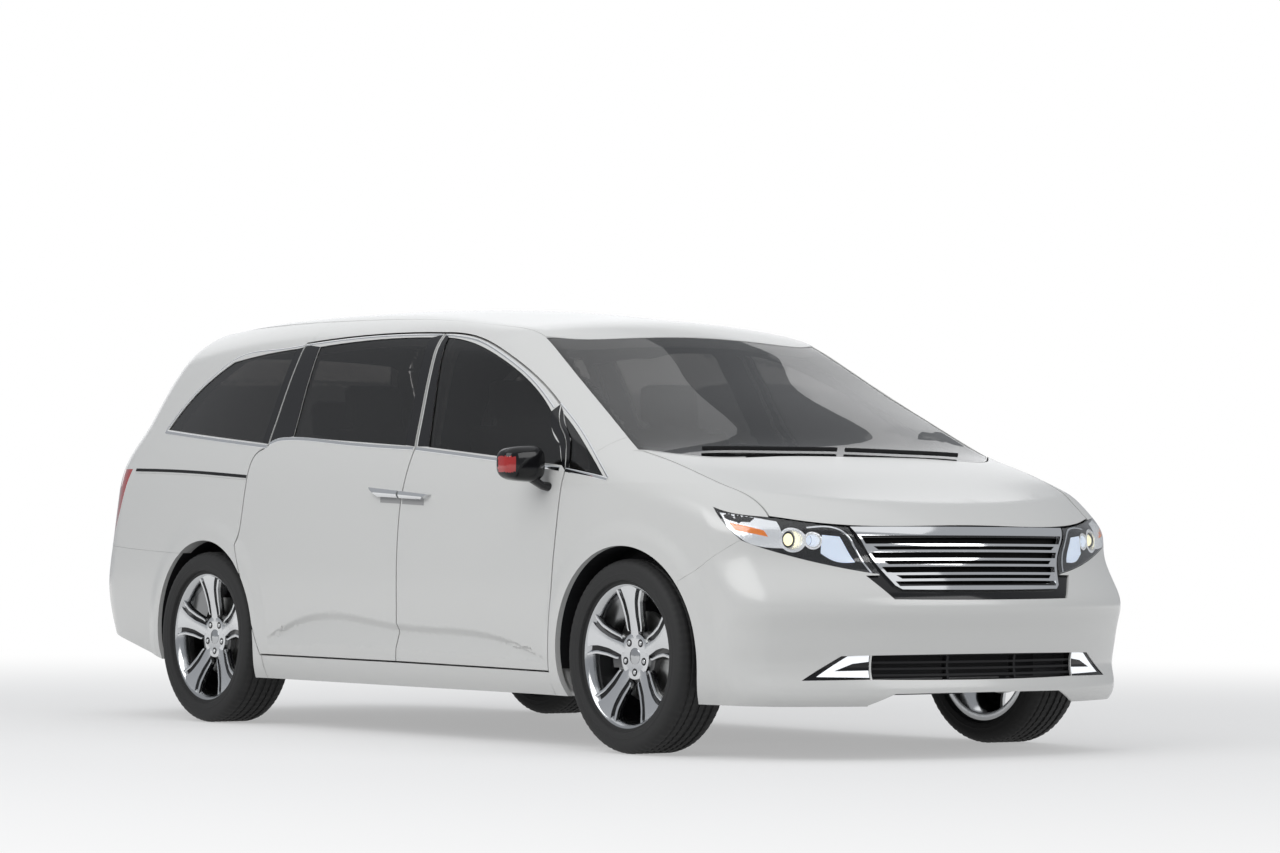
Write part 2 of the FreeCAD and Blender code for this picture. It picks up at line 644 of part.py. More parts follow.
REAR_BUMPER_TOP = [[(-2800, 744), (-2290, 742)], REAR_BUMPER_LINE, [(-1560, 712), (-1560, 1500)],
                   [(-1560, 1500), (-2800, 1500)], [(-2800, 1500), (-2800, 744)]]
REAR_BUMPER_FACE = [[(-2900, 742), (-2290, 742)], REAR_BUMPER_LINE, [(-1560, 712), (-1560, 100)],
                    [(-1560, 100), (-2900, 100)], [(-2900, 100), (-2900, 742)]]
REAR_BUMPER_FOOT = [[(-2800, 100), (-1500, 100)], [(-1500, 100), (-1500, 215)],
                    [(-1500, 215), (-1750, 255), (-2050, 320), (-2800, 350)], [(-2800, 350), (-2800, 100)]]


def door_wall(p):
    """Full door thickness below the belt, thin window frame above."""
    return DOOR_WALL + (FRAME_WALL - DOOR_WALL) * ramp((p[2] - 1080.0) / 90.0)


def front_door():
    body = slab(ring, spread(40, 1300, 34), spread(-49, 68, 48), door_wall)
    behind = [B_CUT_UPPER, [(75, 1610), (60, 1660)], [(60, 1660), (-80, 1660)], [(-80, 1660), (150, 1143)],
              [(150, 1143), (190, 1143)]]
    rear_frame = side_prism(behind, FRAME_GAP - SHUT_GAP / 2)
    door = body.common(side_prism(FRONT_DOOR, -SHUT_GAP / 2))
    foot = along(HINGE_FOOT, HINGE_TOP, DOOR_LEAD_FOOT)
    core = Part.makeCylinder(DOOR_LEAD_RADIUS, DOOR_LEAD_LENGTH, foot, hinge_way())
    lower = box(DOOR_LEAD_X, 1400.0, 600.0, DOOR_LEAD_Y, 250.0, DOOR_LEAD_TOP).cut(core)
    upper = box(DOOR_LEAD_X, 1400.0, 600.0, DOOR_SHOULDER_Y, DOOR_LEAD_TOP, DOOR_SHOULDER_TOP).cut(core)
    pockets = [front_hinge(z, HINGE_POCKET) for z in HINGE_HEIGHTS]
    return largest(door.cut([rear_frame, side_prism(FRONT_DOOR_WINDOW), lower, upper] + pockets))


def sliding_door():
    body = slab(ring, spread(-1180, 240, 36), spread(-49, 70, 48), door_wall)
    door = body.common(side_prism(SLIDING_DOOR, -SHUT_GAP / 2))
    door = door.cut(arch(REAR_AXLE_X, ARCH_RADIUS))
    return largest(door.cut(side_prism(SLIDING_WINDOW)))


def window(outline, u0, u1, start=GLASS_INSET):
    """Side glass that fills its opening."""
    sheet = slab(ring, spread(u0, u1, 12), spread(15, 70, 14), GLASS, start)
    return largest(sheet.common(side_prism(outline, -SEAL)))


def across(line):
    """The right half of a line seen from above."""
    return [(x, -y) for x, y in reversed(line)]


def joined(line):
    """A line seen from above, run on over the centre to the other side."""
    return line + [(x, -y) for x, y in reversed(line[:-1])]


def screen():
    sheet = slab(lid, spread(600, 1840, 26), spread(-880, 880, 31), GLASS, GLASS_INSET)
    outline = [joined(SCREEN_FOOT), across(SCREEN_SIDE)[::-1], joined(SCREEN_HEAD)[::-1], SCREEN_SIDE[::-1]]
    return largest(sheet.common(top_prism(outline, -SEAL)))


def roof():
    sheet = slab(lid, spread(-2090, 800, 30), spread(-720, 720, 21), ROOF_WALL)
    tail_edge = [ROOF_SIDE[-1], (ROOF_SIDE[-1][0], -ROOF_SIDE[-1][1])]
    outline = [joined(SCREEN_HEAD)[::-1], ROOF_SIDE, tail_edge, across(ROOF_SIDE)]
    swing = tailgate_turn(TAILGATE_LEAD_RADIUS + TAILGATE_LEAD_GAP, -900, 900)
    return largest(sheet.common(top_prism(outline, -SEAL)).cut(swing))


def bonnet_plan():
    hem = BONNET_SIDE[-1]
    return [joined([(x + 12, y) for x, y in SCREEN_FOOT]), [(1568, -852), (1575, -848)],
            across(BONNET_SIDE)[::-1], [(hem[0], -hem[1]), (2700, -772)], [(2700, -772), (2700, 772)],
            [(2700, 772), hem], BONNET_SIDE[::-1], [(1575, 848), (1568, 852)]]


BONNET_FRONT = [[(-900, 884), (-779, 878), (-681, 862), (-511, 846), (0, 848), (511, 846), (681, 862),
                 (779, 878), (900, 884)],
                [(900, 884), (900, 1400)], [(900, 1400), (-900, 1400)], [(-900, 1400), (-900, 884)]]


def bonnet():
    sheet = slab(fan, spread(-22, 66, 36), spread(-880, 880, 33), BONNET_WALL)
    lid_part = sheet.common(top_prism(bonnet_plan(), -SHUT_GAP / 2))
    return largest(lid_part.common(front_prism(BONNET_FRONT, -SHUT_GAP / 2)))


def cowl():
    """Trough between the windscreen foot and the bonnet."""
    sheet = slab(lid, spread(1500, 1860, 12), spread(-860, 860, 17), COWL_WALL, GLASS_INSET + GLASS + SEAL)
    rear = [(x - COWL_LAP, y * COWL_SHARE) for x, y in SCREEN_FOOT]
    front = [(x + (COWL_LIP if y < 500 else COWL_CORNER), y * COWL_SHARE) for x, y in SCREEN_FOOT]
    outline = [joined(rear), [(rear[0][0], -rear[0][1]), (front[0][0], -front[0][1])], joined(front)[::-1],
               [front[0], rear[0]]]
    return largest(sheet.common(top_prism(outline)))


def side_wall(p):
    """Body side thickness: one wall, and deeper where the door rings stand behind the doors."""
    deep = ramp((p[0] + 1330) / 130) * ramp((1330 - p[0]) / 60)
    return BODY_WALL + STRUCTURE_WALL * deep * (1 - 0.85 * ramp((p[2] - 1080) / 120))


def door_recess():
    recess = slab(ring, spread(-1190, 1310, 26), spread(-56, 74, 24),
                  lambda p: door_wall(p) + STRUCTURE_GAP + RECESS_START, -RECESS_START)
    return recess.common(side_prism(BOTH_DOORS, SHUT_GAP / 2))


def wing_recess():
    """Room for the front wing outside the hinge pillar."""
    wall = PANEL_WALL + STRUCTURE_GAP + RECESS_START
    recess = slab(ring, spread(1140, 1620, 9), spread(-56, 60, 16), wall, -RECESS_START)
    return recess.common(side_prism(WING))


def along(a, b, z):
    """Point at a height on the line through two points."""
    t = (z - a[2]) / (b[2] - a[2])
    return V(*[a[i] + t * (b[i] - a[i]) for i in range(3)])


def hinge_way():
    """Direction of the front door's hinge line, upwards."""
    return V(*[HINGE_TOP[i] - HINGE_FOOT[i] for i in range(3)])


def front_hinge(z, room_around=0.0):
    """Pin and leaf of one front door hinge, or the pocket it needs in the door."""
    p = along(HINGE_FOOT, HINGE_TOP, z)
    half = HINGE_HEIGHT / 2 + (HINGE_LIFT if room_around else 0.0)
    leaf = box(p.x - HINGE_LEAF / 2, p.x + HINGE_LEAF / 2, p.y - HINGE_REACH, p.y, z - half, z + half)
    way = hinge_way()
    leaf.rotate(p, V(0, 1, 0), math.degrees(math.atan2(way.x, way.z)))
    pin = Part.makeCylinder(HINGE_PIN, 2 * half, along(HINGE_FOOT, HINGE_TOP, z - half), way)
    if not room_around:
        return pin.fuse(leaf)
    gap = HINGE_LEAF / 2 + room_around
    deep = HINGE_REACH + 10.0
    return box(p.x - gap - HINGE_PIN, p.x + deep, p.y - deep, p.y + HINGE_PIN + HINGE_CAP, z - half, z + half)


def peg(sweep, u, v, near, far, radius):
    """Round peg square to the skin, between two depths below it."""
    p = sweep(u, v)
    n = outward(p)
    top = at(*[p[i] - n[i] * near for i in range(3)])
    foot = at(*[p[i] - n[i] * far for i in range(3)])
    return Part.makeCylinder(radius, (top - foot).Length, foot, top - foot)


def peg_at(x, angle):
    """Door striker or roller, from the body to just short of a door's inner face."""
    deep = DOOR_WALL + STRUCTURE_GAP + 20.0
    return peg(ring, x, angle, DOOR_WALL + SEAL, deep, PEG_RADIUS)


def door_seats():
    """What holds the left doors and the tailgate: hinge pins, door strikers and sliding door rollers."""
    pieces = [front_hinge(z) for z in HINGE_HEIGHTS] + [tailgate_pin()]
    return pieces + [peg_at(x, angle) for x, angle in ((200, -5), (-950, 0), (-870, -42), (40, -42))]


LOAD_FLOOR = [[(-1940, 860), (-2130, 840)], [(-2130, 840), (-2330, 600)], [(-2330, 600), (-2330, -600)],
              [(-2330, -600), (-2130, -840)], [(-2130, -840), (-1940, -860)], [(-1940, -860), (-1940, 860)]]


def floor_plate():
    """Cabin floor, with the load floor a step higher behind it."""
    cabin = room(LOAD_FLOOR_X, 1300, -905, 905, FLOOR_TOP - FLOOR_WALL, FLOOR_TOP)
    return cabin.fuse(top_prism(LOAD_FLOOR, 0.0, FLOOR_TOP - 1.0, FLOOR_TOP + LOAD_FLOOR_WALL))


def below_sill():
    return room(-3000, 3000, 0, 1300, -300, SILL_HEIGHT)


def body_side(recess):
    """Front pillar, roof rail, door rings and sill in one piece, on the left."""
    side = slab(ring, spread(-930, 1600, 34), spread(-52, 84, 32), side_wall)
    side = side.common(top_prism(SIDE_PLAN, 0.0, 0.0))
    ahead = side_prism([[(HINGE_PILLAR_X, 100), (1800, 100)], [(1800, 100), (1800, 1012)],
                        [(1800, 1012), (1533, 1012), (HINGE_PILLAR_X, 1043)],
                        [(HINGE_PILLAR_X, 1043), (HINGE_PILLAR_X, 100)]])
    behind = room(-1100, SIDE_SEAM_X, 0, 1200, 0, 1900)
    pillar_front = side_prism([PILLAR_FOOT, [(1392, 1111), (1500, 1215)], [(1500, 1215), (1900, 1215)],
                               [(1900, 1215), (1900, 1012)], [(1900, 1012), (1533, 1012)]], PANEL_GAP / 2)
    tools = [recess, wing_recess(), side_prism(FRONT_DOORWAY), side_prism(REAR_DOORWAY),
             side_prism(QUARTER_LIGHT), ahead, behind, pillar_front, floor_plate(), below_sill(),
             arch(FRONT_AXLE_X, LINER_RADIUS + LINER_WALL)]
    side = side.cut(tools + door_seats())
    return largest(side)


def quarter_panel(recess):
    """Rear quarter with its window opening, rear pillar, wheel arch and the corner round to the tailgate."""
    side = slab(globe, spread(26, 138, 39), spread(-48, 60, 32), side_wall)
    side = side.common(top_prism(SIDE_PLAN, 0.0, 0.0))
    ahead = room(SIDE_SEAM_X - SEAL, 800, 0, 1200, 0, 1900)
    side = side.cut([recess, side_prism(REAR_DOORWAY), side_prism(QUARTER_WINDOW), ahead,
                     arch(REAR_AXLE_X, ARCH_RADIUS), tail_prism(TAILGATE, TAILGATE_GAP / 2),
                     arch(REAR_AXLE_X, LINER_RADIUS + LINER_WALL, 500.0, 925.0), floor_plate(),
                     peg_at(-950, 0), tailgate_pin(), below_sill(),
                     slant_prism(TAIL_LAMP, TAIL_LAMP_BEARING, PANEL_GAP / 2)])
    return largest(side.cut(side_prism(REAR_BUMPER_FACE, PANEL_GAP / 2)))


def wing():
    """Front wing over the left front wheel."""
    sheet = slab(ring, spread(1150, 2360, 44), spread(-50, 62, 38), PANEL_WALL)
    sheet = sheet.common(side_prism(WING, -PANEL_GAP / 2))
    wheel = arch(FRONT_AXLE_X, ARCH_RADIUS)
    glass = top_prism([SCREEN_SIDE[:3], [(1101, 751), (1101, 0)], [(1101, 0), (1790, 0)], SCREEN_FOOT[::-1]],
                      PANEL_GAP / 2)
    tools = [wheel, side_prism(FRONT_DOOR, SHUT_GAP / 2), top_prism(bonnet_plan(), SHUT_GAP / 2), glass,
             slant_prism(HEADLAMP, HEADLAMP_BEARING, PANEL_GAP / 2)]
    return largest(sheet.cut(tools))


def front_bumper():
    cover = slab(nose, spread(-72, 72, 56), spread(196, 905, 28), COVER_WALL)
    tools = [front_prism(GRILLE, PANEL_GAP / 2), front_prism(AIR_DAM), front_prism(CHIN_RECESS)]
    for shape in (arch(FRONT_AXLE_X, ARCH_RADIUS), side_prism(BUMPER_SIDE, PANEL_GAP / 2),
                  slant_prism(HEADLAMP, HEADLAMP_BEARING, PANEL_GAP / 2), front_prism(FOG_LAMP)):
        tools += [shape, mirrored(shape)]
    tools.append(front_prism(BONNET_FRONT, SHUT_GAP / 2))
    return largest(cover.cut(tools))


def rear_bumper():
    cover = slab(tail, spread(-84, 84, 60), spread(200, 760, 22), COVER_WALL)
    gate = tail_prism(TAILGATE, TAILGATE_GAP / 2)
    tools = [gate]
    for shape in (arch(REAR_AXLE_X, ARCH_RADIUS), side_prism(REAR_BUMPER_TOP, PANEL_GAP / 2),
                  side_prism(REAR_BUMPER_FOOT), slant_prism(TAIL_LAMP, TAIL_LAMP_BEARING, PANEL_GAP / 2)):
        tools += [shape, mirrored(shape)]
    middle_foot = room(TAIL_REACH[0], -2000, -250, 250, 100, 345)
    middle_top = room(TAIL_REACH[0], TAIL_REACH[1], -620, 620, 623, 900)
    return largest(cover.cut(tools + [middle_foot, middle_top]))


def tailgate_turn(radius, y0, y1):
    """Cylinder about the tailgate's hinge axis."""
    return Part.makeCylinder(radius, y1 - y0, V(TAILGATE_AXIS[0], y0, TAILGATE_AXIS[1]), V(0, 1, 0))


def tailgate_pin(fit=0.0):
    """Left hinge pin, from the quarter panel into the tailgate's edge."""
    return tailgate_turn(TAILGATE_PIN + fit, TAILGATE_PIN_REACH[0] - fit, TAILGATE_PIN_REACH[1])


def tailgate():
    """Tailgate with a thin flange, a leading edge round the hinge axis and a notch at each hinge pin."""
    sheet = slab(globe, spread(-62, 62, 44), spread(-26, 66, 36), TAILGATE_WALL)
    sheet = sheet.common(tail_prism(TAILGATE, -TAILGATE_GAP / 2))
    inner = slab(globe, spread(-62, 62, 24), spread(-26, 66, 20), TAILGATE_WALL, TAILGATE_FLANGE)
    inner = inner.cut(tail_prism(TAILGATE, -TAILGATE_GAP / 2 - TAILGATE_FLANGE_WIDTH))
    ahead = room(TAILGATE_AXIS[0], -1000, -900, 900, 0, 1900)
    ahead = ahead.cut(tailgate_turn(TAILGATE_LEAD_RADIUS, -900, 900))
    tools = [ahead, inner, tail_prism(REAR_WINDOW)]
    for shape in (tailgate_pin(TAILGATE_PIN_FIT), tailgate_turn(TAILGATE_NOTCH_RADIUS, TAILGATE_NOTCH_Y, 700)):
        tools += [shape, mirrored(shape)]
    return largest(sheet.cut(tools))


def rear_window():
    sheet = slab(globe, spread(-50, 50, 30), spread(-2, 50, 24), GLASS, GLASS_INSET)
    return largest(sheet.common(tail_prism(REAR_WINDOW, -SEAL)))


def tail_lamp():
    sheet = slab(globe, spread(25, 80, 34), spread(-24, 12, 24), LAMP_DEPTH)
    lamp = sheet.common(slant_prism(TAIL_LAMP, TAIL_LAMP_BEARING))
    return largest(lamp.cut(tail_prism(TAILGATE, TAILGATE_GAP / 2)))


def headlamp_lens():
    sheet = slab(nose, spread(8, 60, 40), spread(640, 925, 30), LENS)
    return largest(sheet.common(slant_prism(HEADLAMP, HEADLAMP_BEARING)))


def headlamp_unit():
    """Lamp housing behind the lens, with two round bowls and a lens seated in each."""
    start = LENS + SEAL
    block = slab(nose, spread(8, 60, 40), spread(640, 925, 30), HEADLAMP_DEPTH, start)
    block = largest(block.common(slant_prism(HEADLAMP, HEADLAMP_BEARING, -PANEL_GAP / 2)))
    bowls, lenses = [], []
    for x, y, z, radius in LAMP_BOWLS:
        bowls.append(Part.makeCylinder(radius, 80.0, at(x - BOWL_DEPTH, y, z), V(1, 0, 0)))
        lens = Part.makeCylinder(radius - BOWL_RIM, BOWL_DEPTH - 22.0, at(x - BOWL_DEPTH, y, z), V(1, 0, 0))
        lenses.append(lens)
    return largest(block.cut(bowls + [front_prism(GRILLE, PANEL_GAP / 2)]).fuse(lenses))


def front_band(z0, z1, wall, start):
    """Thick sheet under the middle of the front face, between two heights."""
    return slab(nose, spread(-36, 36, 21), spread(z0, z1, 14), wall, start)


def gap_outline(half_top, half_foot, top, foot, bow):
    """Outline of the gap between two cross bars seen from the front, a little bowed."""
    return [[(-half_top, top), (0, top + bow), (half_top, top)], [(half_top, top), (half_foot, foot)],
            [(half_foot, foot), (0, foot + bow), (-half_foot, foot)], [(-half_foot, foot), (-half_top, top)]]


def grille_half(z):
    """Half width inside the grille frame at a height."""
    (wide, high), (narrow, low) = GRILLE_OPENING[1]
    return narrow + (wide - narrow) * (z - low) / (high - low)


def grille():
    """Chrome frame with a deep top bar and three pairs of thin bars that end in it."""
    frame = [[(-511, 844), (0, 846), (511, 844)], [(511, 844), (394, 632)], [(394, 632), (372, 618)],
             [(372, 618), (0, 616), (-372, 618)], [(-372, 618), (-394, 632)], [(-394, 632), (-511, 844)]]
    sheet = front_band(570, 870, GRILLE_DEPTH, -GRILLE_PROUD).common(front_prism(frame, -0.5))
    gaps = []
    for top, foot in GRILLE_GAPS:
        gaps.append(front_prism(gap_outline(grille_half(top), grille_half(foot), top, foot, 2)))
    return largest(sheet.cut(gaps))


def grille_surround():
    """Black panel behind the chrome, open where the bars let air through."""
    panel = front_band(570, 870, SURROUND_WALL, GRILLE_DEPTH - GRILLE_PROUD + SEAL)
    return largest(panel.common(front_prism(GRILLE, -SEAL)).cut(front_prism(GRILLE_OPENING, -8.0)))


def air_dam():
    """Slats and side posts behind the lower opening of the bumper."""
    sheet = front_band(270, 400, AIR_DAM_DEPTH, COVER_WALL + SEAL)
    sheet = sheet.common(front_prism(gap_outline(485.4, 485.4, 384, 286, -2)))
    gaps = []
    for y in AIR_DAM_BAYS:
        for top, foot in AIR_DAM_GAPS:
            gaps.append(front_prism([[(y - 156, top), (y + 156, top)], [(y + 156, top), (y + 156, foot)],
                                     [(y + 156, foot), (y - 156, foot)], [(y - 156, foot), (y - 156, top)]]))
    return largest(sheet.cut(gaps))


def fog_lamp():
    sheet = slab(nose, spread(14, 46, 16), spread(276, 392, 8), AIR_DAM_DEPTH, FOG_LAMP_INSET)
    return largest(sheet.common(front_prism(FOG_LAMP, -SEAL)))


def wheel_cup(axle, inner, outer):
    """Left wheel house: a half ring with its inner wall, open below."""
    ring_part = arch(axle, LINER_RADIUS + LINER_WALL, inner - LINER_WALL, outer)
    return ring_part.common(box(axle - 500, axle + 500, 0, 1200, LINER_FOOT, 1000))


def lift_pads():
    """Pads for a lift or a jack under the left half of the floor."""
    half, foot = LIFT_PAD_SIZE / 2, FLOOR_TOP - FLOOR_WALL
    return [box(x - half, x + half, LIFT_PAD_Y - half, LIFT_PAD_Y + half, foot - LIFT_PAD_DEPTH, foot + 1.0)
            for x in LIFT_PAD_STATIONS]


def floor_pan():
    """Floor with its lift pads, firewall and the cups over the four wheels."""
    pads = lift_pads()
    shapes = [floor_plate(), room(1288, 1300, -800, 800, FLOOR_TOP - FLOOR_WALL, FIREWALL_TOP)]
    shapes += pads + [mirrored(p) for p in pads]
    holes = []
    for axle, inner, outer in ((REAR_AXLE_X, 620.0, 915.0), (FRONT_AXLE_X, 535.0, 905.0)):
        cup = wheel_cup(axle, inner, outer)
        well = arch(axle, LINER_RADIUS, inner, outer + 200)
        shapes += [cup, mirrored(cup)]
        holes += [well, mirrored(well)]
    tower = box(FRONT_AXLE_X - 85, FRONT_AXLE_X + 85, 500.0, 760.0, 500.0, 1100.0)
    hub_way = box(REAR_AXLE_X - 75, REAR_AXLE_X + 75, 545.0, 700.0, 200.0, 450.0)
    holes += [tower, mirrored(tower), hub_way, mirrored(hub_way)]
    return largest(shapes[0].fuse(shapes[1:]).cut(holes))


def z_of_bonnet(p):
    """Height of a stop that ends just under the bonnet."""
    n = outward(p)
    return sz(p[2]) - (BONNET_WALL + STOP_GAP) / n[2] - PEG_RADIUS * abs(n[0]) / n[2]


def chassis_rails():
    """Rails either side of the engine, the front cross beam and the strut towers."""
    shapes = []
    for turn in (1, -1):
        rail = room(1300 + SEAL, 2340, 430, 500, 470, 560)
        tower = box(FRONT_AXLE_X - 110, FRONT_AXLE_X + 110, 500.0, 740.0, KINGPIN_TOP_Z + BALL_PAD,
                    KINGPIN_TOP_Z + 22.0)
        leg = box(FRONT_AXLE_X - 110, FRONT_AXLE_X + 110, 500.0, 516.0, 520.0, KINGPIN_TOP_Z + 22.0)
        foot = box(FRONT_AXLE_X - 110, FRONT_AXLE_X + 110, 470.0, 516.0, 520.0, 560.0)
        for s in (rail, tower, leg, foot):
            shapes.append(s if turn > 0 else mirrored(s))
    shapes.append(room(2330, 2400, -520, 520, 450, 580))
    shapes.append(room(2290, 2330, -480, 480, 790.3, 830))
    for y in (-380, 380):
        shapes.append(room(2330, 2345, y - 20, y + 20, 560, 830))
    stops = []
    for y in (-400, 400):
        p = lid(2308, y)
        inner = z_of_bonnet(p)
        stops.append(Part.makeCylinder(PEG_RADIUS, inner - sz(829), V(sx(2308), sy(y), sz(829)), V(0, 0, 1)))
    return fused(shapes + stops)


def front_subframe():
    """Frame under the engine with the two lower arms out to the ball joints."""
    x = FRONT_AXLE_X
    low, high = 205.0, 250.0
    shapes = [box(x - 200, x - 130, -470, 470, low, high), box(x + 140, x + 210, -470, 470, low, high),
              box(x - 200, x + 210, 400, 470, low, high), box(x - 200, x + 210, -470, -400, low, high)]
    for turn in (1, -1):
        arm = [V(x - 170, 460, low), V(x - 45, KINGPIN_FOOT_Y - 90, low), V(x - 26, KINGPIN_FOOT_Y + 14, low),
               V(x + 26, KINGPIN_FOOT_Y + 14, low), V(x + 45, KINGPIN_FOOT_Y - 90, low), V(x + 180, 460, low)]
        plate = Part.Face(Part.makePolygon(arm + [arm[0]])).extrude(V(0, 0, ARM_PLATE))
        mount = box(x - 195, x - 140, 415, 465, high, 470.0)
        mount_front = box(x + 150, x + 205, 415, 465, high, 470.0)
        for s in (plate, mount, mount_front):
            shapes.append(s if turn > 0 else mirrored(s))
    return fused(shapes)


def kingpin_ball(z):
    """Ball centred on the left kingpin line, so that it stays in place as the wheel is steered."""
    lean = (KINGPIN_FOOT_Y - KINGPIN_TOP_Y) / (KINGPIN_TOP_Z - KINGPIN_FOOT_Z)
    return Part.makeSphere(BALL_RADIUS, V(FRONT_AXLE_X, KINGPIN_TOP_Y + lean * (KINGPIN_TOP_Z - z), z))


def knuckle():
    """Left front knuckle with its strut, spindle and brake caliper, for the steered wheel."""
    x, z = FRONT_AXLE_X, TYRE_RADIUS
    face = HALF_TRACK - 22.0
    carrier = Part.makeCylinder(62.0, 34.0, V(x, face - 34.0, z), V(0, 1, 0))
    spindle = Part.makeCylinder(HUB_BORE - SPINDLE_FIT, 22.0 + 36.0, V(x, face, z), V(0, 1, 0))
    arm_top = KINGPIN_FOOT_Z + ARM_PLATE + BALL_PAD
    foot = box(x - 22, x + 22, KINGPIN_FOOT_Y - 26, KINGPIN_FOOT_Y + 14, arm_top + KNUCKLE_CLEARANCE, z - 20)
    balls = [kingpin_ball(arm_top + BALL_RADIUS), kingpin_ball(KINGPIN_TOP_Z - BALL_RADIUS)]
    lean = (KINGPIN_TOP_Y - 692.0) / (KINGPIN_TOP_Z - 430.0)
    way = V(0, lean, 1)
    strut = Part.makeCylinder(STRUT_RADIUS, 300.0, V(x, 692.0, 430.0), way)
    rod = Part.makeCylinder(11.0, 470.0 * math.sqrt(1 + lean * lean), V(x, 692.0, 430.0), way)
    rod = rod.common(box(x - 50, x + 50, 500, 800, 400, KINGPIN_TOP_Z - BALL_RADIUS))
    seat_z = TYRE_RADIUS * 2 + 30.0
    seat_y = 692.0 + lean * (seat_z - 430.0)
    tall = KINGPIN_TOP_Z - SPRING_CLEARANCE - seat_z
    spring = Part.makeCylinder(SPRING_RADIUS, tall, V(x, seat_y, seat_z), way)
    spring = spring.cut(Part.makeCylinder(SPRING_RADIUS - 10.0, 400.0, V(x, seat_y, seat_z + 6.0), way))
    spring = spring.common(box(x - 100, x + 100, 500, 800, seat_z - 20, KINGPIN_TOP_Z))
    bracket = box(x - 24, x + 24, 668.0, face - 10.0, 400.0, 475.0)
    caliper = brake_caliper(x, z)
    return fused([carrier, spindle, foot, strut, rod, spring, bracket, caliper] + balls)


def brake_caliper(x, z):
    """Caliper over the rear edge of the left front disc, clear of it all round, with its bracket."""
    outer, inner, tip = DISC_RADIUS + 20.0, DISC_RADIUS - 58.0, 46.0
    blank = Part.makeCylinder(outer, 90.0, V(x, HALF_TRACK - 48.0, z), V(0, 1, 0))
    blank = blank.cut(Part.makeCylinder(inner, 90.0, V(x, HALF_TRACK - 48.0, z), V(0, 1, 0)))
    blank = blank.common(box(x - outer - 5, x - 70, HALF_TRACK - 48, HALF_TRACK + 26.5,
                             z - tip, z + tip + 30))
    slot = Part.makeCylinder(DISC_RADIUS + BRAKE_CLEARANCE, DISC_THICKNESS + 2 * BRAKE_CLEARANCE,
                             V(x, HALF_TRACK - DISC_THICKNESS / 2 - BRAKE_CLEARANCE, z), V(0, 1, 0))
    arm = box(x - 120, x - 30, HALF_TRACK - 50, HALF_TRACK - 26, z - 20, z + 30)
    return blank.cut(slot).fuse(arm)


def rear_axle():
    """Twist beam with trailing arms, springs' seats, hub plates and spindles."""
    x, z = REAR_AXLE_X, TYRE_RADIUS
    face = HALF_TRACK - 22.0
    shapes = [Part.makeCylinder(38.0, 2 * 600.0, V(x + 130, -600.0, 262.0), V(0, 1, 0))]
    for turn in (1, -1):
        arm = box(x - 60, x + 420, 560.0, 606.0, 236.0, 290.0)
        pivot = box(x + 380, x + 420, 560.0, 606.0, 236.0, FLOOR_TOP - FLOOR_WALL - SEAL)
        hub = Part.makeCylinder(58.0, face - 560.0, V(x, 560.0, z), V(0, 1, 0))
        web = box(x - 50, x + 50, 560.0, 606.0, 240.0, z)
        spindle = Part.makeCylinder(HUB_BORE - SPINDLE_FIT, 22.0 + 36.0, V(x, face, z), V(0, 1, 0))
        for s in (arm, pivot, hub, web, spindle):
            shapes.append(s if turn > 0 else mirrored(s))
    return fused(shapes)


def turned(points):
    """Solid of revolution about the wheel axis from (radius, offset) points."""
    wire = Part.makePolygon([V(r, o, 0) for r, o in points] + [V(points[0][0], points[0][1], 0)])
    return Part.Face(wire).revolve(V(0, 0, 0), V(0, 1, 0), 360)


def spoke_face(r):
    """Offset of the spoke face from the wheel centre plane."""
    return 58.0 + 36.0 * ramp((r - 40.0) / 250.0)


def rim():
    """Left wheel about its own centre: barrel, five flared spokes, hub and brake disc."""
    edge, half = RIM_EDGE_RADIUS, RIM_WIDTH / 2
    w = RIM_WALL
    barrel = turned([(edge, half), (edge, half - 7), (edge - 14, half - 9), (edge - 27, half - 24),
                     (edge - 42, 30), (edge - 42, -30), (edge - 22, -half + 22), (edge - 12, -half + 9),
                     (edge, -half + 7), (edge, -half), (edge - 12, -half), (edge - 22 - w, -half + 18),
                     (edge - 42 - w, -32), (edge - 42 - w, 32), (edge - 27 - w, half - 22),
                     (edge - 16, half)])
    radii = [20, 60, 100, 150, 200, 240, 262]
    face = [(r, spoke_face(r)) for r in radii]
    back = [(r, spoke_face(r) - 34.0 + 0.03 * r) for r in reversed(radii)]
    dish = turned([(0.5, face[0][1])] + face + back + [(0.5, back[-1][1])])
    spokes = dish.common(spoke_star())
    hub = Part.makeCylinder(HUB_RADIUS, spoke_face(HUB_RADIUS) - 24.0, V(0, 12.0, 0), V(0, 1, 0))
    hat = Part.makeCylinder(HUB_RADIUS + 6.0, 50.0, V(0, -DISC_THICKNESS / 2, 0), V(0, 1, 0))
    disc = Part.makeCylinder(DISC_RADIUS, DISC_THICKNESS, V(0, -DISC_THICKNESS / 2, 0), V(0, 1, 0))
    whole = barrel.fuse([spokes, hub, hat, disc])
    wells, nuts = [], []
    for i in range(LUG_COUNT):
        a = math.radians(90 + 360.0 / LUG_COUNT * i)
        x, z = LUG_CIRCLE * math.cos(a), LUG_CIRCLE * math.sin(a)
        wells.append(Part.makeCylinder(LUG_WELL, 60.0, V(x, 44.0, z), V(0, 1, 0)))
        nuts.append(Part.makeCylinder(LUG_NUT, 12.0, V(x, 40.0, z), V(0, 1, 0)))
    bore = Part.makeCylinder(HUB_BORE, 54.0, V(0, -14.0, 0), V(0, 1, 0))
    return largest(whole.cut(wells + [bore]).fuse(nuts))


def flat_face(points):
    """Face in the wheel's middle plane from (along, across) points."""
    return Part.Face(Part.makePolygon([V(a, -120.0, b) for a, b in points + points[:1]]))


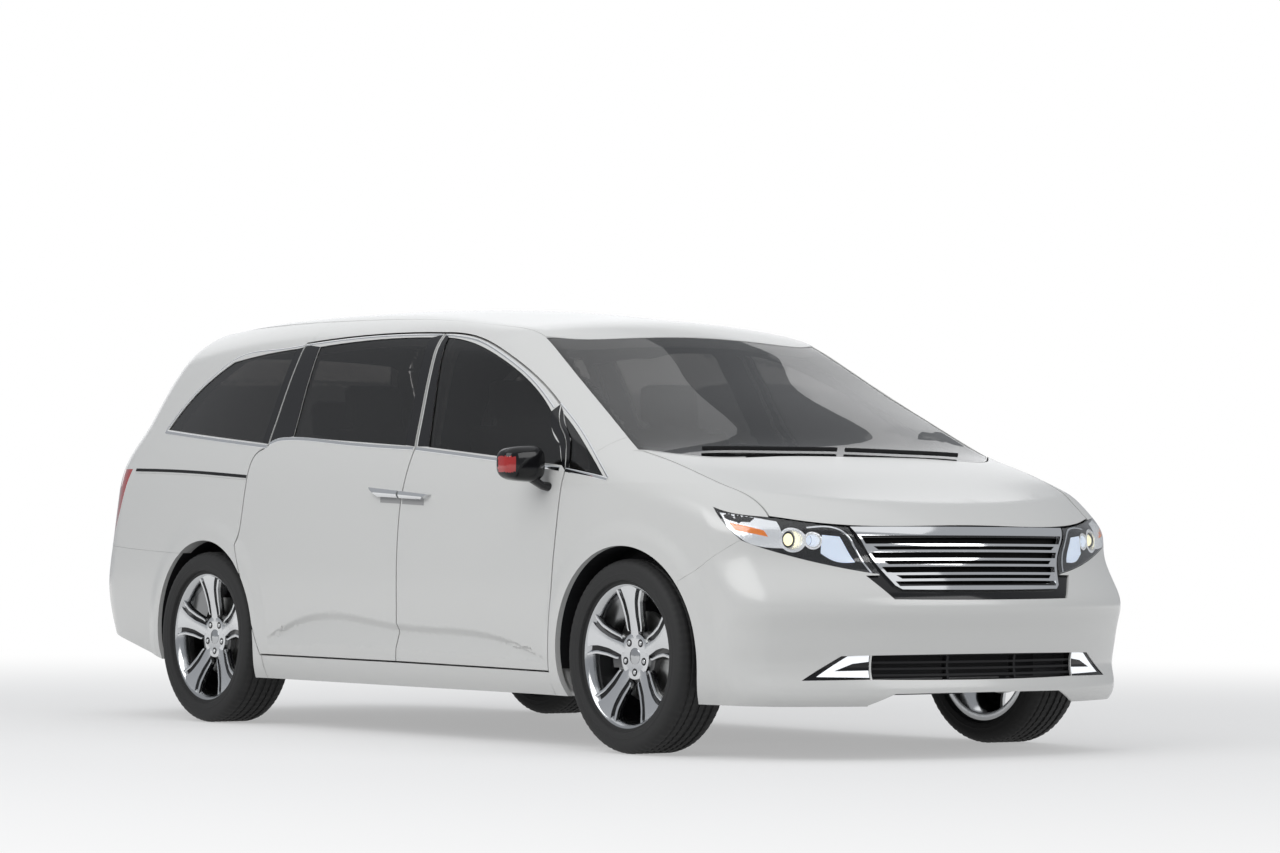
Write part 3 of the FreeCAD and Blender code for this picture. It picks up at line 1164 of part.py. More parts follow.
def spoke_star():
    """Five flared spokes, each with a slot along either edge, as tall prisms."""
    blade = [(0, -30), (90, -40), (150, -43), (200, -50), (240, -64), (268, -86), (276, 0), (268, 86),
             (240, 64), (200, 50), (150, 43), (90, 40), (0, 30)]
    slot = [(100, 25), (180, 27), (228, 36), (236, 42), (232, 50), (180, 36), (100, 33)]
    first = flat_face(blade).extrude(V(0, 260, 0))
    slots = [flat_face([(a, side * b) for a, b in slot]).extrude(V(0, 260, 0)) for side in (1, -1)]
    first = first.cut(slots)
    star = []
    for i in range(SPOKE_COUNT):
        spoke = first.copy()
        spoke.rotate(V(0, 0, 0), V(0, 1, 0), 90 + 360.0 / SPOKE_COUNT * i)
        star.append(spoke)
    return star[0].fuse(star[1:])


def tyre():
    """Left tyre about its own centre."""
    half, r = TYRE_WIDTH / 2, TYRE_RADIUS
    seat, lip = RIM_EDGE_RADIUS - 11.6, RIM_WIDTH / 2 - 7.0
    section = turned([(seat, lip - 2.3), (RIM_EDGE_RADIUS + 0.5, lip - 0.5), (RIM_EDGE_RADIUS + 2, lip + 7.5),
                      (RIM_EDGE_RADIUS + 22, half - 3),
                      (r - 45, half), (r - 24, half - 3), (r - 8, half - 14), (r - 2, half - 32),
                      (r, half - 60),
                      (r, -half + 60), (r - 2, -half + 32), (r - 8, -half + 14), (r - 24, -half + 3),
                      (r - 45, -half), (RIM_EDGE_RADIUS + 22, -half + 3), (RIM_EDGE_RADIUS + 2, -lip - 7.5),
                      (RIM_EDGE_RADIUS + 0.5, -lip + 0.5), (seat, -lip + 2.3)])
    return section


def placed(shape, axle, left):
    """Put a left wheel piece on its axle, or its mirror image on the right."""
    s = shape.copy()
    s.translate(V(axle, HALF_TRACK, TYRE_RADIUS))
    return s if left else mirrored(s)


def side_profile(points, y0, y1):
    wire = Part.makePolygon([at(a, y0, b) for a, b in points + points[:1]])
    return Part.Face(wire).extrude(V(0, sy(y1) - sy(y0), 0))


def seat(x, y, width, rows_back=1240.0):
    """Seat with its base, cushion, leaning back and headrest, drawn in side view about its front edge."""
    feet = FLOOR_TOP + SEAL
    base = side_profile([(x - 60, feet), (x - 480, feet), (x - 450, 560), (x - 90, 560)],
                        y - width / 2 + 40, y + width / 2 - 40)
    cushion = side_profile([(x, 640), (x - 20, 575), (x - 60, 545), (x - 520, 545), (x - 560, 600),
                            (x - 520, 665), (x - 60, 700), (x - 15, 690)], y - width / 2, y + width / 2)
    back = side_profile([(x - 430, 640), (x - 530, 560), (x - 590, 620), (x - 760, rows_back - 40),
                         (x - 745, rows_back), (x - 690, rows_back), (x - 655, rows_back - 60)],
                        y - width / 2 + 10, y + width / 2 - 10)
    rest = side_profile([(x - 705, rows_back + 30), (x - 800, rows_back + 30), (x - 815, rows_back + 175),
                         (x - 745, rows_back + 190), (x - 715, rows_back + 150)], y - 125, y + 125)
    posts = []
    for side in (-60, 60):
        start = at(x - 735, y + side, rows_back - 60)
        posts.append(Part.makeCylinder(7.0, 130.0, start, V(-0.16, 0, 1)))
    return fused([base, cushion, back, rest] + posts)


def dashboard():
    body = side_profile([(1287.7, 520), (1287.7, 1040), (1240, 1052), (1130, 1030), (1035, 985), (985, 930),
                         (1000, 860), (1075, 760), (1150, 620), (1200, 540)], -790, 790)
    cup = arch(FRONT_AXLE_X, LINER_RADIUS + LINER_WALL + SEAL, 520.0)
    return largest(body.cut([cup, mirrored(cup)]))


def steering_column_way():
    a = math.radians(STEERING_TILT)
    return V(-math.cos(a), 0, math.sin(a))


STEERING_CENTRE = (850.0, 380.0, 955.0)


def steering_wheel():
    way = steering_column_way()
    centre = at(*STEERING_CENTRE)
    grip = Part.makeTorus(STEERING_WHEEL_RADIUS, STEERING_WHEEL_GRIP, centre, way)
    hub = Part.makeCylinder(52.0, 44.0, centre - way * 40.0, way)
    stub = Part.makeCylinder(20.0, 60.0, centre - way * 95.0, way)
    shapes = [grip, hub, stub]
    side = V(0, 1, 0)
    down = way.cross(side)
    for spoke in (side, side * -1, down):
        shapes.append(Part.makeCylinder(12.0, STEERING_WHEEL_RADIUS - 4.0, centre - way * 16.0,
                                        spoke + way * 0.07))
    return fused(shapes)


def steering_column(dash):
    way = steering_column_way()
    centre = at(*STEERING_CENTRE)
    tube = Part.makeCylinder(34.0, 220.0, centre - way * (95.0 + SEAL), way * -1)
    return largest(tube.cut(dash))


def mirror_head():
    """Left door mirror with its arm down to the door."""
    outline = [(1052, 975), (1058, 1150), (1085, 1166), (1130, 1150), (1168, 1080), (1176, 990), (1160, 968)]
    head = Part.Face(Part.makePolygon([at(a, b, 1086) for a, b in outline + outline[:1]]))
    head = head.extrude(V(0, 0, 118))
    head = head.makeFillet(14.0, head.Edges)
    arm = [(1118, 946), (1180, 946), (1172, 1000), (1124, 1000)]
    foot = Part.Face(Part.makePolygon([at(a, b, 1036) for a, b in arm + arm[:1]])).extrude(V(0, 0, 66))
    door_face = slab(ring, spread(1080, 1230, 5), spread(8, 34, 6), 60.0, -SEAL)
    return largest(head.fuse(foot).cut(door_face))


def engine():
    return box(FRONT_AXLE_X + 40, FRONT_AXLE_X + 520, -400, 399, 250.3, 880)


def radiator():
    return room(2280, 2329.5, -420, 420, 290, 790)


def fuel_tank():
    return room(-900, -250, -480, 480, 205, FLOOR_TOP - FLOOR_WALL - SEAL)


def exhaust():
    """Pipe and silencer along the right of the floor."""
    z = 252.0
    silencer = FLOOR_TOP - FLOOR_WALL - SEAL - z
    pipe = Part.makeCylinder(27.0, sx(1180) - sx(-520), at(-520, -560, z), V(1, 0, 0))
    box_part = Part.makeCylinder(silencer, sx(-500) - sx(-860), at(-860, -560, z), V(1, 0, 0))
    return pipe.fuse(box_part)


def wheel_nodes():
    wheel, rubber = rim(), tyre()
    nodes = {}
    for name, axle in (("front", FRONT_AXLE_X), ("rear", REAR_AXLE_X)):
        for side_name, left in (("left", True), ("right", False)):
            nodes["rim_" + name + "_" + side_name] = placed(wheel, axle, left)
            nodes["tyre_" + name + "_" + side_name] = placed(rubber, axle, left)
    return nodes


def both_sides():
    """Pieces with a node of their own on each side of the body."""
    recess = door_recess()
    pairs = {
        "body_side": body_side(recess),
        "quarter_panel": quarter_panel(recess),
        "front_door": front_door(),
        "front_door_window": window(FRONT_DOOR_WINDOW, 60, 1280),
        "sliding_door": sliding_door(),
        "front_wing": wing(),
        "mirror": mirror_head(),
        "knuckle": knuckle(),
    }
    nodes = {}
    for name, shape in pairs.items():
        nodes[name + "_left"] = shape
        nodes[name + "_right"] = mirrored(shape)
    return nodes


def paired_pieces():
    """Like pieces of the two sides that share one node."""
    seats = door_seats()
    windows = [window(QUARTER_WINDOW, -1960, -900), window(QUARTER_LIGHT, 1040, 1540)]
    return {
        "sliding_door_windows": both(window(SLIDING_WINDOW, -860, 160)),
        "fixed_side_windows": Part.makeCompound(windows + [mirrored(w) for w in windows]),
        "headlamp_lenses": both(headlamp_lens()),
        "headlamp_units": both(headlamp_unit()),
        "tail_lamps": both(tail_lamp()),
        "fog_lamps": both(fog_lamp()),
        "door_hinges_and_strikers": Part.makeCompound(seats + [mirrored(s) for s in seats]),
    }


def single_pieces():
    dash = dashboard()
    seats = [seat(860, y, 520) for y in (380, -380)] + [seat(-180, y, 500) for y in (400, -400)]
    return {
        "windscreen": screen(),
        "roof": roof(),
        "bonnet": bonnet(),
        "cowl": cowl(),
        "tailgate": tailgate(),
        "tailgate_window": rear_window(),
        "front_bumper": front_bumper(),
        "rear_bumper": rear_bumper(),
        "radiator_grille": grille(),
        "grille_surround": grille_surround(),
        "air_dam": air_dam(),
        "floor_pan": floor_pan(),
        "chassis_rails": chassis_rails(),
        "front_subframe": front_subframe(),
        "rear_axle": rear_axle(),
        "engine": engine(),
        "radiator": radiator(),
        "fuel_tank": fuel_tank(),
        "exhaust": exhaust(),
        "dashboard": dash,
        "steering_column": steering_column(dash),
        "steering_wheel": steering_wheel(),
        "seats": Part.makeCompound(seats + [seat(-1080, 0, 1130, 1200.0)]),
    }


def main():
    for group in (wheel_nodes, single_pieces, paired_pieces, both_sides):
        for name, shape in group().items():
            print(name, shape.isValid(), len(shape.Solids), round(shape.Volume / 1e6, 2))
            save(name, shape)


main()
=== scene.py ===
import json
import math

import bmesh
import bpy
import numpy as np
from mathutils import Matrix, Vector

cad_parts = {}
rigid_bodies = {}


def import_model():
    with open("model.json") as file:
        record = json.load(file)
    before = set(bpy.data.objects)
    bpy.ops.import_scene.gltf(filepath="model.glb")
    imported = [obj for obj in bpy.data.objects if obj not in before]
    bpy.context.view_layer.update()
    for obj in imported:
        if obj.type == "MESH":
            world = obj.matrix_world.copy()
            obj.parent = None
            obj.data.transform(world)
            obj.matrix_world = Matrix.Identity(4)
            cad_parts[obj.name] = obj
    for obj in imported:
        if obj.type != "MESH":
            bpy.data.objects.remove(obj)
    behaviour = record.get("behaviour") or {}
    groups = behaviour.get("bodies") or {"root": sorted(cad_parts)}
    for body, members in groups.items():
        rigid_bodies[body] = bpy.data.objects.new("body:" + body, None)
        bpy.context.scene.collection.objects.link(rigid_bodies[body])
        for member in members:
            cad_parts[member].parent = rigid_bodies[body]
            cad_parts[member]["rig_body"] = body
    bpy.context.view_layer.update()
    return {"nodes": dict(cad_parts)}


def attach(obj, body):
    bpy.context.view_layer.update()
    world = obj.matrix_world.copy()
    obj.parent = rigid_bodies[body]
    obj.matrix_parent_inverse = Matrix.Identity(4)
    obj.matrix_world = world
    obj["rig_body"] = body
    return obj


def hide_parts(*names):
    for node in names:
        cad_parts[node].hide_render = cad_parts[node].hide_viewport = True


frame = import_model()
nodes = frame["nodes"]
MM = 0.001

# Form of the body skin in millimetres, as the solids have it
HALF_WIDTH = 990.0
TYRE_RADIUS = 360.0
TYRE_HALF_WIDTH = 118.0
RIM_RADIUS = 277.0
HALF_TRACK = 867.0
AXLES = {"front": 1640.0, "rear": -1360.0}
ARCH_RADIUS = 408.0
CROWN_REACH = 700.0


class Curve:
    """Smooth natural cubic through (station, value) pairs."""

    def __init__(self, pairs):
        self.s = s = np.array([p[0] for p in pairs], float)
        self.v = v = np.array([p[1] for p in pairs], float)
        h = np.diff(s)
        n = len(s)
        a = np.eye(n)
        b = np.zeros(n)
        for i in range(1, n - 1):
            a[i, i - 1:i + 2] = h[i - 1], 2 * (h[i - 1] + h[i]), h[i]
            b[i] = 6 * ((v[i + 1] - v[i]) / h[i] - (v[i] - v[i - 1]) / h[i - 1])
        self.m = m = np.linalg.solve(a, b)
        self.h = h
        self.start = (v[1] - v[0]) / h[0] - h[0] * (2 * m[0] + m[1]) / 6
        self.end = (v[-1] - v[-2]) / h[-1] + h[-1] * (2 * m[-1] + m[-2]) / 6

    def __call__(self, t):
        t = np.asarray(t, float)
        s, v, m = self.s, self.v, self.m
        i = np.clip(np.searchsorted(s, t, side="right") - 1, 0, len(s) - 2)
        a, b, h = s[i + 1] - t, t - s[i], self.h[i]
        inner = (m[i] * a ** 3 + m[i + 1] * b ** 3) / (6 * h)
        inner = inner + (v[i] / h - m[i] * h / 6) * a + (v[i + 1] / h - m[i + 1] * h / 6) * b
        low = v[0] + self.start * (t - s[0])
        high = v[-1] + self.end * (t - s[-1])
        return np.where(t <= s[0], low, np.where(t >= s[-1], high, inner))


PLAN = Curve([(-2570, -90), (-2200, -58), (-1360, -12), (-500, -3), (300, -2), (900, -5), (1640, -2),
              (2200, -62), (2570, -93)])
SECTION = Curve([(100, -110), (200, -46), (250, -24), (310, -12), (400, -5), (520, -1), (650, 0),
                 (820, -6), (960, -13), (1060, -26), (1150, -48), (1250, -86), (1400, -144), (1550, -211),
                 (1650, -266), (1750, -329)])
ROOF = Curve([(-2700, 1500), (-2400, 1622), (-2100, 1677), (-1700, 1716), (-1100, 1741), (-500, 1741),
              (0, 1718), (400, 1683), (800, 1658), (1200, 1605)])
SCREEN = Curve([(200, 1879), (700, 1644), (1000, 1483), (1300, 1334), (1650, 1145), (1900, 979)])
BONNET = Curve([(1400, 1165), (1700, 1123), (2000, 1037), (2250, 949), (2400, 895), (2500, 839), (2650, 740)])
NOSE = Curve([(100, 2470), (170, 2500), (200, 2530), (235, 2548), (270, 2546), (300, 2536), (340, 2530),
              (400, 2540), (480, 2557), (560, 2574), (640, 2533), (740, 2478), (840, 2463), (900, 2417),
              (1000, 2346)])
TAIL = Curve([(100, -2400), (200, -2440), (350, -2505), (560, -2575), (700, -2555), (850, -2524),
              (1000, -2498), (1100, -2478), (1250, -2378), (1400, -2310), (1550, -2222), (1650, -2150),
              (1750, -2062)])
GROOVE_TOP = Curve([(-893, 358), (-559, 467), (136, 452), (928, 400), (1165, 330)])
GROOVE_CREASE = Curve([(-893, 352), (-560, 434), (134, 416), (965, 372), (1165, 327)])
GROOVE_FOOT = Curve([(-893, 338), (-560, 345), (124, 349), (700, 338), (1165, 322)])


def ramp(t):
    t = np.clip(t, 0.0, 1.0)
    return t * t * (3 - 2 * t)


def meet(a, b, radius):
    u, v = np.maximum(a + radius, 0.0), np.maximum(b + radius, 0.0)
    return np.minimum(np.maximum(a, b), -radius) + np.sqrt(u * u + v * v)


def flare(x, z):
    total = 0.0
    for axle in AXLES.values():
        r = np.hypot(x - axle, z - TYRE_RADIUS)
        total = total + 11.0 * (1 - ramp((r - ARCH_RADIUS - 34.0) / 75.0))
    return total


def groove(x, z):
    top, crease, foot = GROOVE_TOP(x), GROOVE_CREASE(x), GROOVE_FOOT(x)
    depth = 17.0 * ramp((x + 893) / 160) * ramp((1165 - x) / 160)
    above = depth * ramp((top - z) / np.maximum(top - crease, 1.0))
    below = depth * np.clip((z - foot) / np.maximum(crease - foot, 1.0), 0.0, 1.0)
    inside = (x > -893) & (x < 1165) & (z > 300) & (z < 500)
    return np.where(inside, np.where(z >= crease, above, below), 0.0)


def skin(p, pressed=True):
    """Distance outside the skin of an array of points in millimetres."""
    x, y, z = p[..., 0], np.abs(p[..., 1]), p[..., 2]
    q = (y / CROWN_REACH) ** 2
    rise = np.clip((z - 1000.0) / 600.0, 0.0, 1.3)
    front_taper = 67.0 * np.clip((x - 300.0) / 1000.0, 0.0, 2.0) ** 2
    rear_taper = 58.0 * np.clip((-x - 900.0) / 1200.0, 0.0, 2.0) ** 2
    side = y - (HALF_WIDTH + PLAN(x) + SECTION(z) - rise * (front_taper + rear_taper))
    if pressed:
        side = side + groove(x, z) - flare(x, z)
    roof = ROOF(x) - 51.5 * q
    screen = SCREEN(x) - 61.6 * q
    bonnet = BONNET(x) - 18.5 * q - 8.0 * q * q
    low = 0.5 * (screen + roof - np.sqrt((screen - roof) ** 2 + 45.0 ** 2))
    high = 0.5 * (bonnet + low + np.sqrt((bonnet - low) ** 2 + 50.0 ** 2))
    top = (z - high) * 0.93
    front = (x - NOSE(z) + 121.0 * q + 22.6 * q * q) * 0.95
    rear = (TAIL(z) + 91.0 * q + 12.0 * q * q - x) * 0.95
    return meet(meet(meet(side, top, 110.0), front, 90.0), rear, 166.0)


def normals_at(p, pressed=True):
    g = np.empty(p.shape)
    for i in range(3):
        step = np.zeros(3)
        step[i] = 1.0
        g[..., i] = skin(p + step, pressed) - skin(p - step, pressed)
    return g / np.linalg.norm(g, axis=-1, keepdims=True)


def cast(start, way):
    """Where rays from inside the body leave the skin, in millimetres."""
    start, way = np.asarray(start, float), np.asarray(way, float)
    a = np.zeros(start.shape[:-1])
    b = np.full(start.shape[:-1], 1900.0)
    for _ in range(34):
        c = 0.5 * (a + b)
        out = skin(start + way * c[..., None]) > 0
        b = np.where(out, c, b)
        a = np.where(out, a, c)
    return start + way * b[..., None]


def from_side(points, side):
    """Skin points of (x, z) pairs; side is 1 for left and -1 for right."""
    p = np.array([(x, side * 350.0, z) for x, z in points])
    way = np.zeros(p.shape)
    way[:, 1] = side
    return cast(p, way)


def from_above(points):
    p = np.array([(x, y, 900.0) for x, y in points])
    way = np.zeros(p.shape)
    way[:, 2] = 1.0
    return cast(p, way)


def from_front(points):
    p = np.array([(1500.0, y, z) for y, z in points])
    way = np.zeros(p.shape)
    way[:, 0] = 1.0
    return cast(p, way)


# Materials
def new_material(name, colour, rough, metal=0.0, **sockets):
    mat = bpy.data.materials.new(name)
    mat.use_nodes = True
    shader = mat.node_tree.nodes["Principled BSDF"]
    shader.inputs["Base Color"].default_value = (*colour, 1.0)
    shader.inputs["Roughness"].default_value = rough
    shader.inputs["Metallic"].default_value = metal
    for key, value in sockets.items():
        shader.inputs[key.replace("_", " ")].default_value = value
    return mat


def textured(mat, scale, bump, distance=0.001, rough_swing=0.0, tint=0.0, kind="noise", stretch=(1, 1, 1)):
    """Add a fine procedural grain: bump, and swings in roughness and colour."""
    tree = mat.node_tree
    shader = tree.nodes["Principled BSDF"]
    place = tree.nodes.new("ShaderNodeTexCoord")
    scaling = tree.nodes.new("ShaderNodeMapping")
    scaling.inputs["Scale"].default_value = stretch
    tree.links.new(place.outputs["Object"], scaling.inputs["Vector"])
    if kind == "noise":
        grain = tree.nodes.new("ShaderNodeTexNoise")
        grain.inputs["Detail"].default_value = 4.0
        value = grain.outputs["Fac"]
    else:
        grain = tree.nodes.new("ShaderNodeTexVoronoi")
        value = grain.outputs["Distance"]
    grain.inputs["Scale"].default_value = scale
    tree.links.new(scaling.outputs["Vector"], grain.inputs["Vector"])
    if bump:
        relief = tree.nodes.new("ShaderNodeBump")
        relief.inputs["Strength"].default_value = bump
        relief.inputs["Distance"].default_value = distance
        tree.links.new(value, relief.inputs["Height"])
        tree.links.new(relief.outputs["Normal"], shader.inputs["Normal"])
    if rough_swing:
        base = shader.inputs["Roughness"].default_value
        spread_node = tree.nodes.new("ShaderNodeMapRange")
        spread_node.inputs["To Min"].default_value = max(base - rough_swing, 0.0)
        spread_node.inputs["To Max"].default_value = base + rough_swing
        tree.links.new(value, spread_node.inputs["Value"])
        tree.links.new(spread_node.outputs["Result"], shader.inputs["Roughness"])
    if tint:
        colour = shader.inputs["Base Color"].default_value[:]
        blend = tree.nodes.new("ShaderNodeMix")
        blend.data_type = "RGBA"
        blend.inputs["A"].default_value = [c * (1 - tint) for c in colour[:3]] + [1.0]
        blend.inputs["B"].default_value = [min(c * (1 + tint), 1.0) for c in colour[:3]] + [1.0]
        tree.links.new(value, blend.inputs["Factor"])
        tree.links.new(blend.outputs["Result"], shader.inputs["Base Color"])
    return mat


paint = textured(new_material("pearl_paint", (0.60, 0.60, 0.585), 0.34, Coat_Weight=0.6, Coat_Roughness=0.16),
                 900.0, 0.0, tint=0.02, rough_swing=0.03)
# Mid grey for the flat sheet under each door handle: painted shade standing in for the handle recess, which
# is not cut into the skin.
handle_recess_painted_shade = textured(new_material("handle_recess_painted_shade", (0.30, 0.30, 0.30), 0.5), 900.0, 0.0, rough_swing=0.03)
gloss_black = textured(new_material("gloss_black", (0.006, 0.006, 0.007), 0.12, Specular_IOR_Level=0.3,
                                    Coat_Weight=0.15, Coat_Roughness=0.03), 300.0, 0.0, rough_swing=0.03)
black_plastic = textured(new_material("black_plastic", (0.010, 0.010, 0.011), 0.6, Specular_IOR_Level=0.25),
                         700.0, 0.25, 0.0004, rough_swing=0.08)
black_mesh = textured(new_material("black_mesh", (0.004, 0.004, 0.004), 0.7, Specular_IOR_Level=0.1),
                      120.0, 0.6, 0.002, kind="cells")
mirror_glass = textured(new_material("mirror_glass", (0.75, 0.77, 0.78), 0.03, 1.0), 60.0, 0.0,
                        rough_swing=0.01)
reflector = textured(new_material("lamp_reflector", (0.86, 0.87, 0.88), 0.24, 0.9, Emission_Strength=0.18,
                                  Emission_Color=(1.0, 1.0, 1.0, 1.0)),
                     160.0, 0.5, 0.001, kind="cells", stretch=(1, 2.2, 0.5))
chrome = textured(new_material("chrome", (0.82, 0.83, 0.84), 0.07, 1.0), 60.0, 0.0, rough_swing=0.03)
alloy = textured(new_material("machined_alloy", (0.72, 0.73, 0.74), 0.2, 1.0), 250.0, 0.08, 0.0003,
                 rough_swing=0.06)
polished = textured(new_material("polished_barrel", (0.55, 0.56, 0.57), 0.16, 1.0), 120.0, 0.04, 0.0003,
                    rough_swing=0.05)
disc_iron = textured(new_material("disc_iron", (0.42, 0.42, 0.41), 0.32, 1.0), 90.0, 0.15, 0.0004,
                     rough_swing=0.1)
cast_iron = textured(new_material("cast_iron", (0.20, 0.20, 0.20), 0.6, 0.8), 160.0, 0.4, 0.001,
                     rough_swing=0.1, tint=0.2)
steel = textured(new_material("brushed_steel", (0.42, 0.42, 0.43), 0.38, 1.0), 120.0, 0.1, 0.0004,
                 rough_swing=0.1, stretch=(0.1, 1, 1))
black_steel = textured(new_material("black_steel", (0.03, 0.03, 0.033), 0.5, 0.3), 90.0, 0.15, 0.0005,
                       rough_swing=0.1, tint=0.2)
rubber = textured(new_material("tyre_rubber", (0.017, 0.017, 0.017), 0.72), 500.0, 0.3, 0.0004,
                  rough_swing=0.08, tint=0.2)
fabric = textured(new_material("seat_fabric", (0.19, 0.18, 0.17), 0.9, Sheen_Weight=0.4), 900.0, 0.5, 0.0008,
                  tint=0.25)
soft_trim = textured(new_material("soft_trim", (0.06, 0.06, 0.06), 0.65), 600.0, 0.3, 0.0005,
                     rough_swing=0.08)
headliner = textured(new_material("headliner", (0.40, 0.39, 0.37), 0.9, Sheen_Weight=0.2), 900.0, 0.3, 0.0006)
red_lens = textured(new_material("red_lens", (0.36, 0.008, 0.008), 0.1, Coat_Weight=1.0), 200.0, 0.0,
                    rough_swing=0.02)
amber = textured(new_material("amber_lens", (0.85, 0.22, 0.01), 0.15, Coat_Weight=1.0, Emission_Strength=0.25,
                              Emission_Color=(1.0, 0.25, 0.02, 1.0)),
                 300.0, 0.3, 0.0005, kind="cells")


def glow(name, colour, strength):
    mat = new_material(name, colour, 0.2, Emission_Strength=strength, Emission_Color=(*colour, 1.0))
    return textured(mat, 400.0, 0.15, 0.0004, kind="cells")


lamp_white = glow("lamp_white", (0.85, 0.87, 0.9), 0.45)
led_white = glow("led_white", (0.72, 0.80, 0.92), 0.45)
projector = glow("projector", (1.0, 0.93, 0.62), 0.8)


def glass_material(name, colour):
    return new_material(name, colour, 0.0, Transmission_Weight=1.0, IOR=1.45)


tinted_glass = glass_material("tinted_glass", (0.15, 0.145, 0.14))
screen_glass = glass_material("screen_glass", (0.28, 0.28, 0.275))
clear_lens = glass_material("clear_lens", (0.96, 0.97, 0.98))


# Pieces
def link(obj):
    bpy.context.scene.collection.objects.link(obj)
    return obj


def body_of(node):
    return nodes[node]["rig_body"]


GROOVE_BOX = ((-900.0, 1170.0), (322.0, 480.0))
FINE_EDGE = 24.0
NEAR_SKIN = 7.0
LINING_DEPTH = 12.0


def refined(mesh):
    """Split the long edges in the door groove and lay the new points on the skin."""
    bm = bmesh.new()
    bm.from_mesh(mesh)
    for _ in range(7):
        ends = np.array([[v.co[:] for v in e.verts] for e in bm.edges]) / MM
        middle = ends.mean(axis=1)
        (x0, x1), (z0, z1) = GROOVE_BOX
        inside = (middle[:, 0] > x0) & (middle[:, 0] < x1) & (ends[:, :, 2].max(axis=1) > z0)
        inside &= (ends[:, :, 2].min(axis=1) < z1)
        near = (np.abs(skin(ends)) < NEAR_SKIN).all(axis=1)
        long = np.linalg.norm(ends[:, 0] - ends[:, 1], axis=1) > FINE_EDGE
        picked = np.nonzero(inside & near & long)[0]
        if not len(picked):
            break
        bm.edges.ensure_lookup_table()
        bmesh.ops.subdivide_edges(bm, edges=[bm.edges[i] for i in picked], cuts=1)
        bmesh.ops.triangulate(bm, faces=[f for f in bm.faces if len(f.verts) > 3])
    bm.to_mesh(mesh)
    bm.free()
    count = len(mesh.vertices)
    co = np.empty(count * 3)
    mesh.vertices.foreach_get("co", co)
    co = co.reshape(-1, 3) / MM
    inside = (co[:, 0] > GROOVE_BOX[0][0]) & (co[:, 0] < GROOVE_BOX[0][1]) & (np.abs(skin(co)) < NEAR_SKIN)
    inside &= (co[:, 2] > GROOVE_BOX[1][0]) & (co[:, 2] < GROOVE_BOX[1][1])
    co[inside] -= normals_at(co[inside]) * skin(co[inside])[:, None]
    mesh.vertices.foreach_set("co", (co * MM).ravel())
    mesh.update()


def lined(centres, normals):
    """Material 1 on faces that look into the cabin, 0 elsewhere."""
    inward = (normals_at(centres, False) * normals).sum(1) < -0.5
    return (inward & (skin(centres) < -LINING_DEPTH)).astype(int)


def skinned(node, *materials, pick=None, fine=False, sink=0.0):
    """A copy of a node whose faces along the skin take the skin's own smooth normals."""
    mesh = nodes[node].data.copy()
    if fine:
        refined(mesh)
    mesh.materials.clear()
    for mat in materials:
        mesh.materials.append(mat)
    count = len(mesh.vertices)
    co = np.empty(count * 3)
    mesh.vertices.foreach_get("co", co)
    co = co.reshape(-1, 3) / MM
    pressed = normals_at(co)
    if sink:
        outer = np.abs(skin(co)) < NEAR_SKIN
        co[outer] -= pressed[outer] * sink
        mesh.vertices.foreach_set("co", (co * MM).ravel())
        mesh.update()
    plain = normals_at(co, False)
    on_skin = np.abs(skin(co)) < 2.5
    smooth = np.where(on_skin[:, None], pressed, plain)
    loops = np.empty(len(mesh.loops), int)
    mesh.loops.foreach_get("vertex_index", loops)
    face_normals = np.array([p.normal[:] for p in mesh.polygons])
    totals = np.array([p.loop_total for p in mesh.polygons])
    owner = np.repeat(np.arange(len(totals)), totals)
    flat = face_normals[owner]
    wanted = smooth[loops]
    facing = (flat * wanted).sum(1)
    chosen = np.where((facing > 0.88)[:, None], wanted, np.where((facing < -0.88)[:, None], -wanted, flat))
    mesh.polygons.foreach_set("use_smooth", np.ones(len(mesh.polygons), bool))
    if pick:
        centres = np.array([p.center[:] for p in mesh.polygons]) / MM
        mesh.polygons.foreach_set("material_index", pick(centres, face_normals))
    else:
        mesh.polygons.foreach_set("material_index", np.zeros(len(mesh.polygons), int))
    mesh.normals_split_custom_set(chosen.tolist())
    obj = link(bpy.data.objects.new(node + "_panel", mesh))
    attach(obj, body_of(node))
    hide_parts(node)
    return obj


def finished(node, mat):
    """Keep a CAD node and give it its material."""
    obj = nodes[node]
    obj.data.materials.clear()
    obj.data.materials.append(mat)
    for face in obj.data.polygons:
        face.material_index = 0


def solid(name, points, faces, mat, body, slot=None, smooth=False):
    mesh = bpy.data.meshes.new(name)
    mesh.from_pydata([tuple(c * MM for c in p) for p in points], [], faces)
    mesh.materials.append(mat)
    bm = bmesh.new()
    bm.from_mesh(mesh)
    bmesh.ops.recalc_face_normals(bm, faces=bm.faces)
    bm.to_mesh(mesh)
    bm.free()
    obj = link(bpy.data.objects.new(name, mesh))
    if smooth:
        for face in mesh.polygons:
            face.use_smooth = True
        mesh.set_sharp_from_angle(angle=math.radians(38))
    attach(obj, body)
    return obj


def closed_grid(front, back):
    """Vertices and faces of a closed sheet from its front and back grids."""
    rows, cols = front.shape[:2]
    points = [tuple(p) for p in front.reshape(-1, 3)] + [tuple(p) for p in back.reshape(-1, 3)]
    shift = rows * cols
    faces = []
    for i in range(rows - 1):
        for j in range(cols - 1):
            a = i * cols + j
            faces.append((a, a + 1, a + cols + 1, a + cols))
            faces.append((a + shift, a + cols + shift, a + cols + 1 + shift, a + 1 + shift))
    rim = [(i, 0) for i in range(rows)] + [(rows - 1, j) for j in range(1, cols)]
    rim += [(i, cols - 1) for i in range(rows - 2, -1, -1)] + [(0, j) for j in range(cols - 2, 0, -1)]
    for k, (i, j) in enumerate(rim):
        m, n = rim[(k + 1) % len(rim)]
        a, b = i * cols + j, m * cols + n
        faces.append((a, b, b + shift, a + shift))
    return points, faces


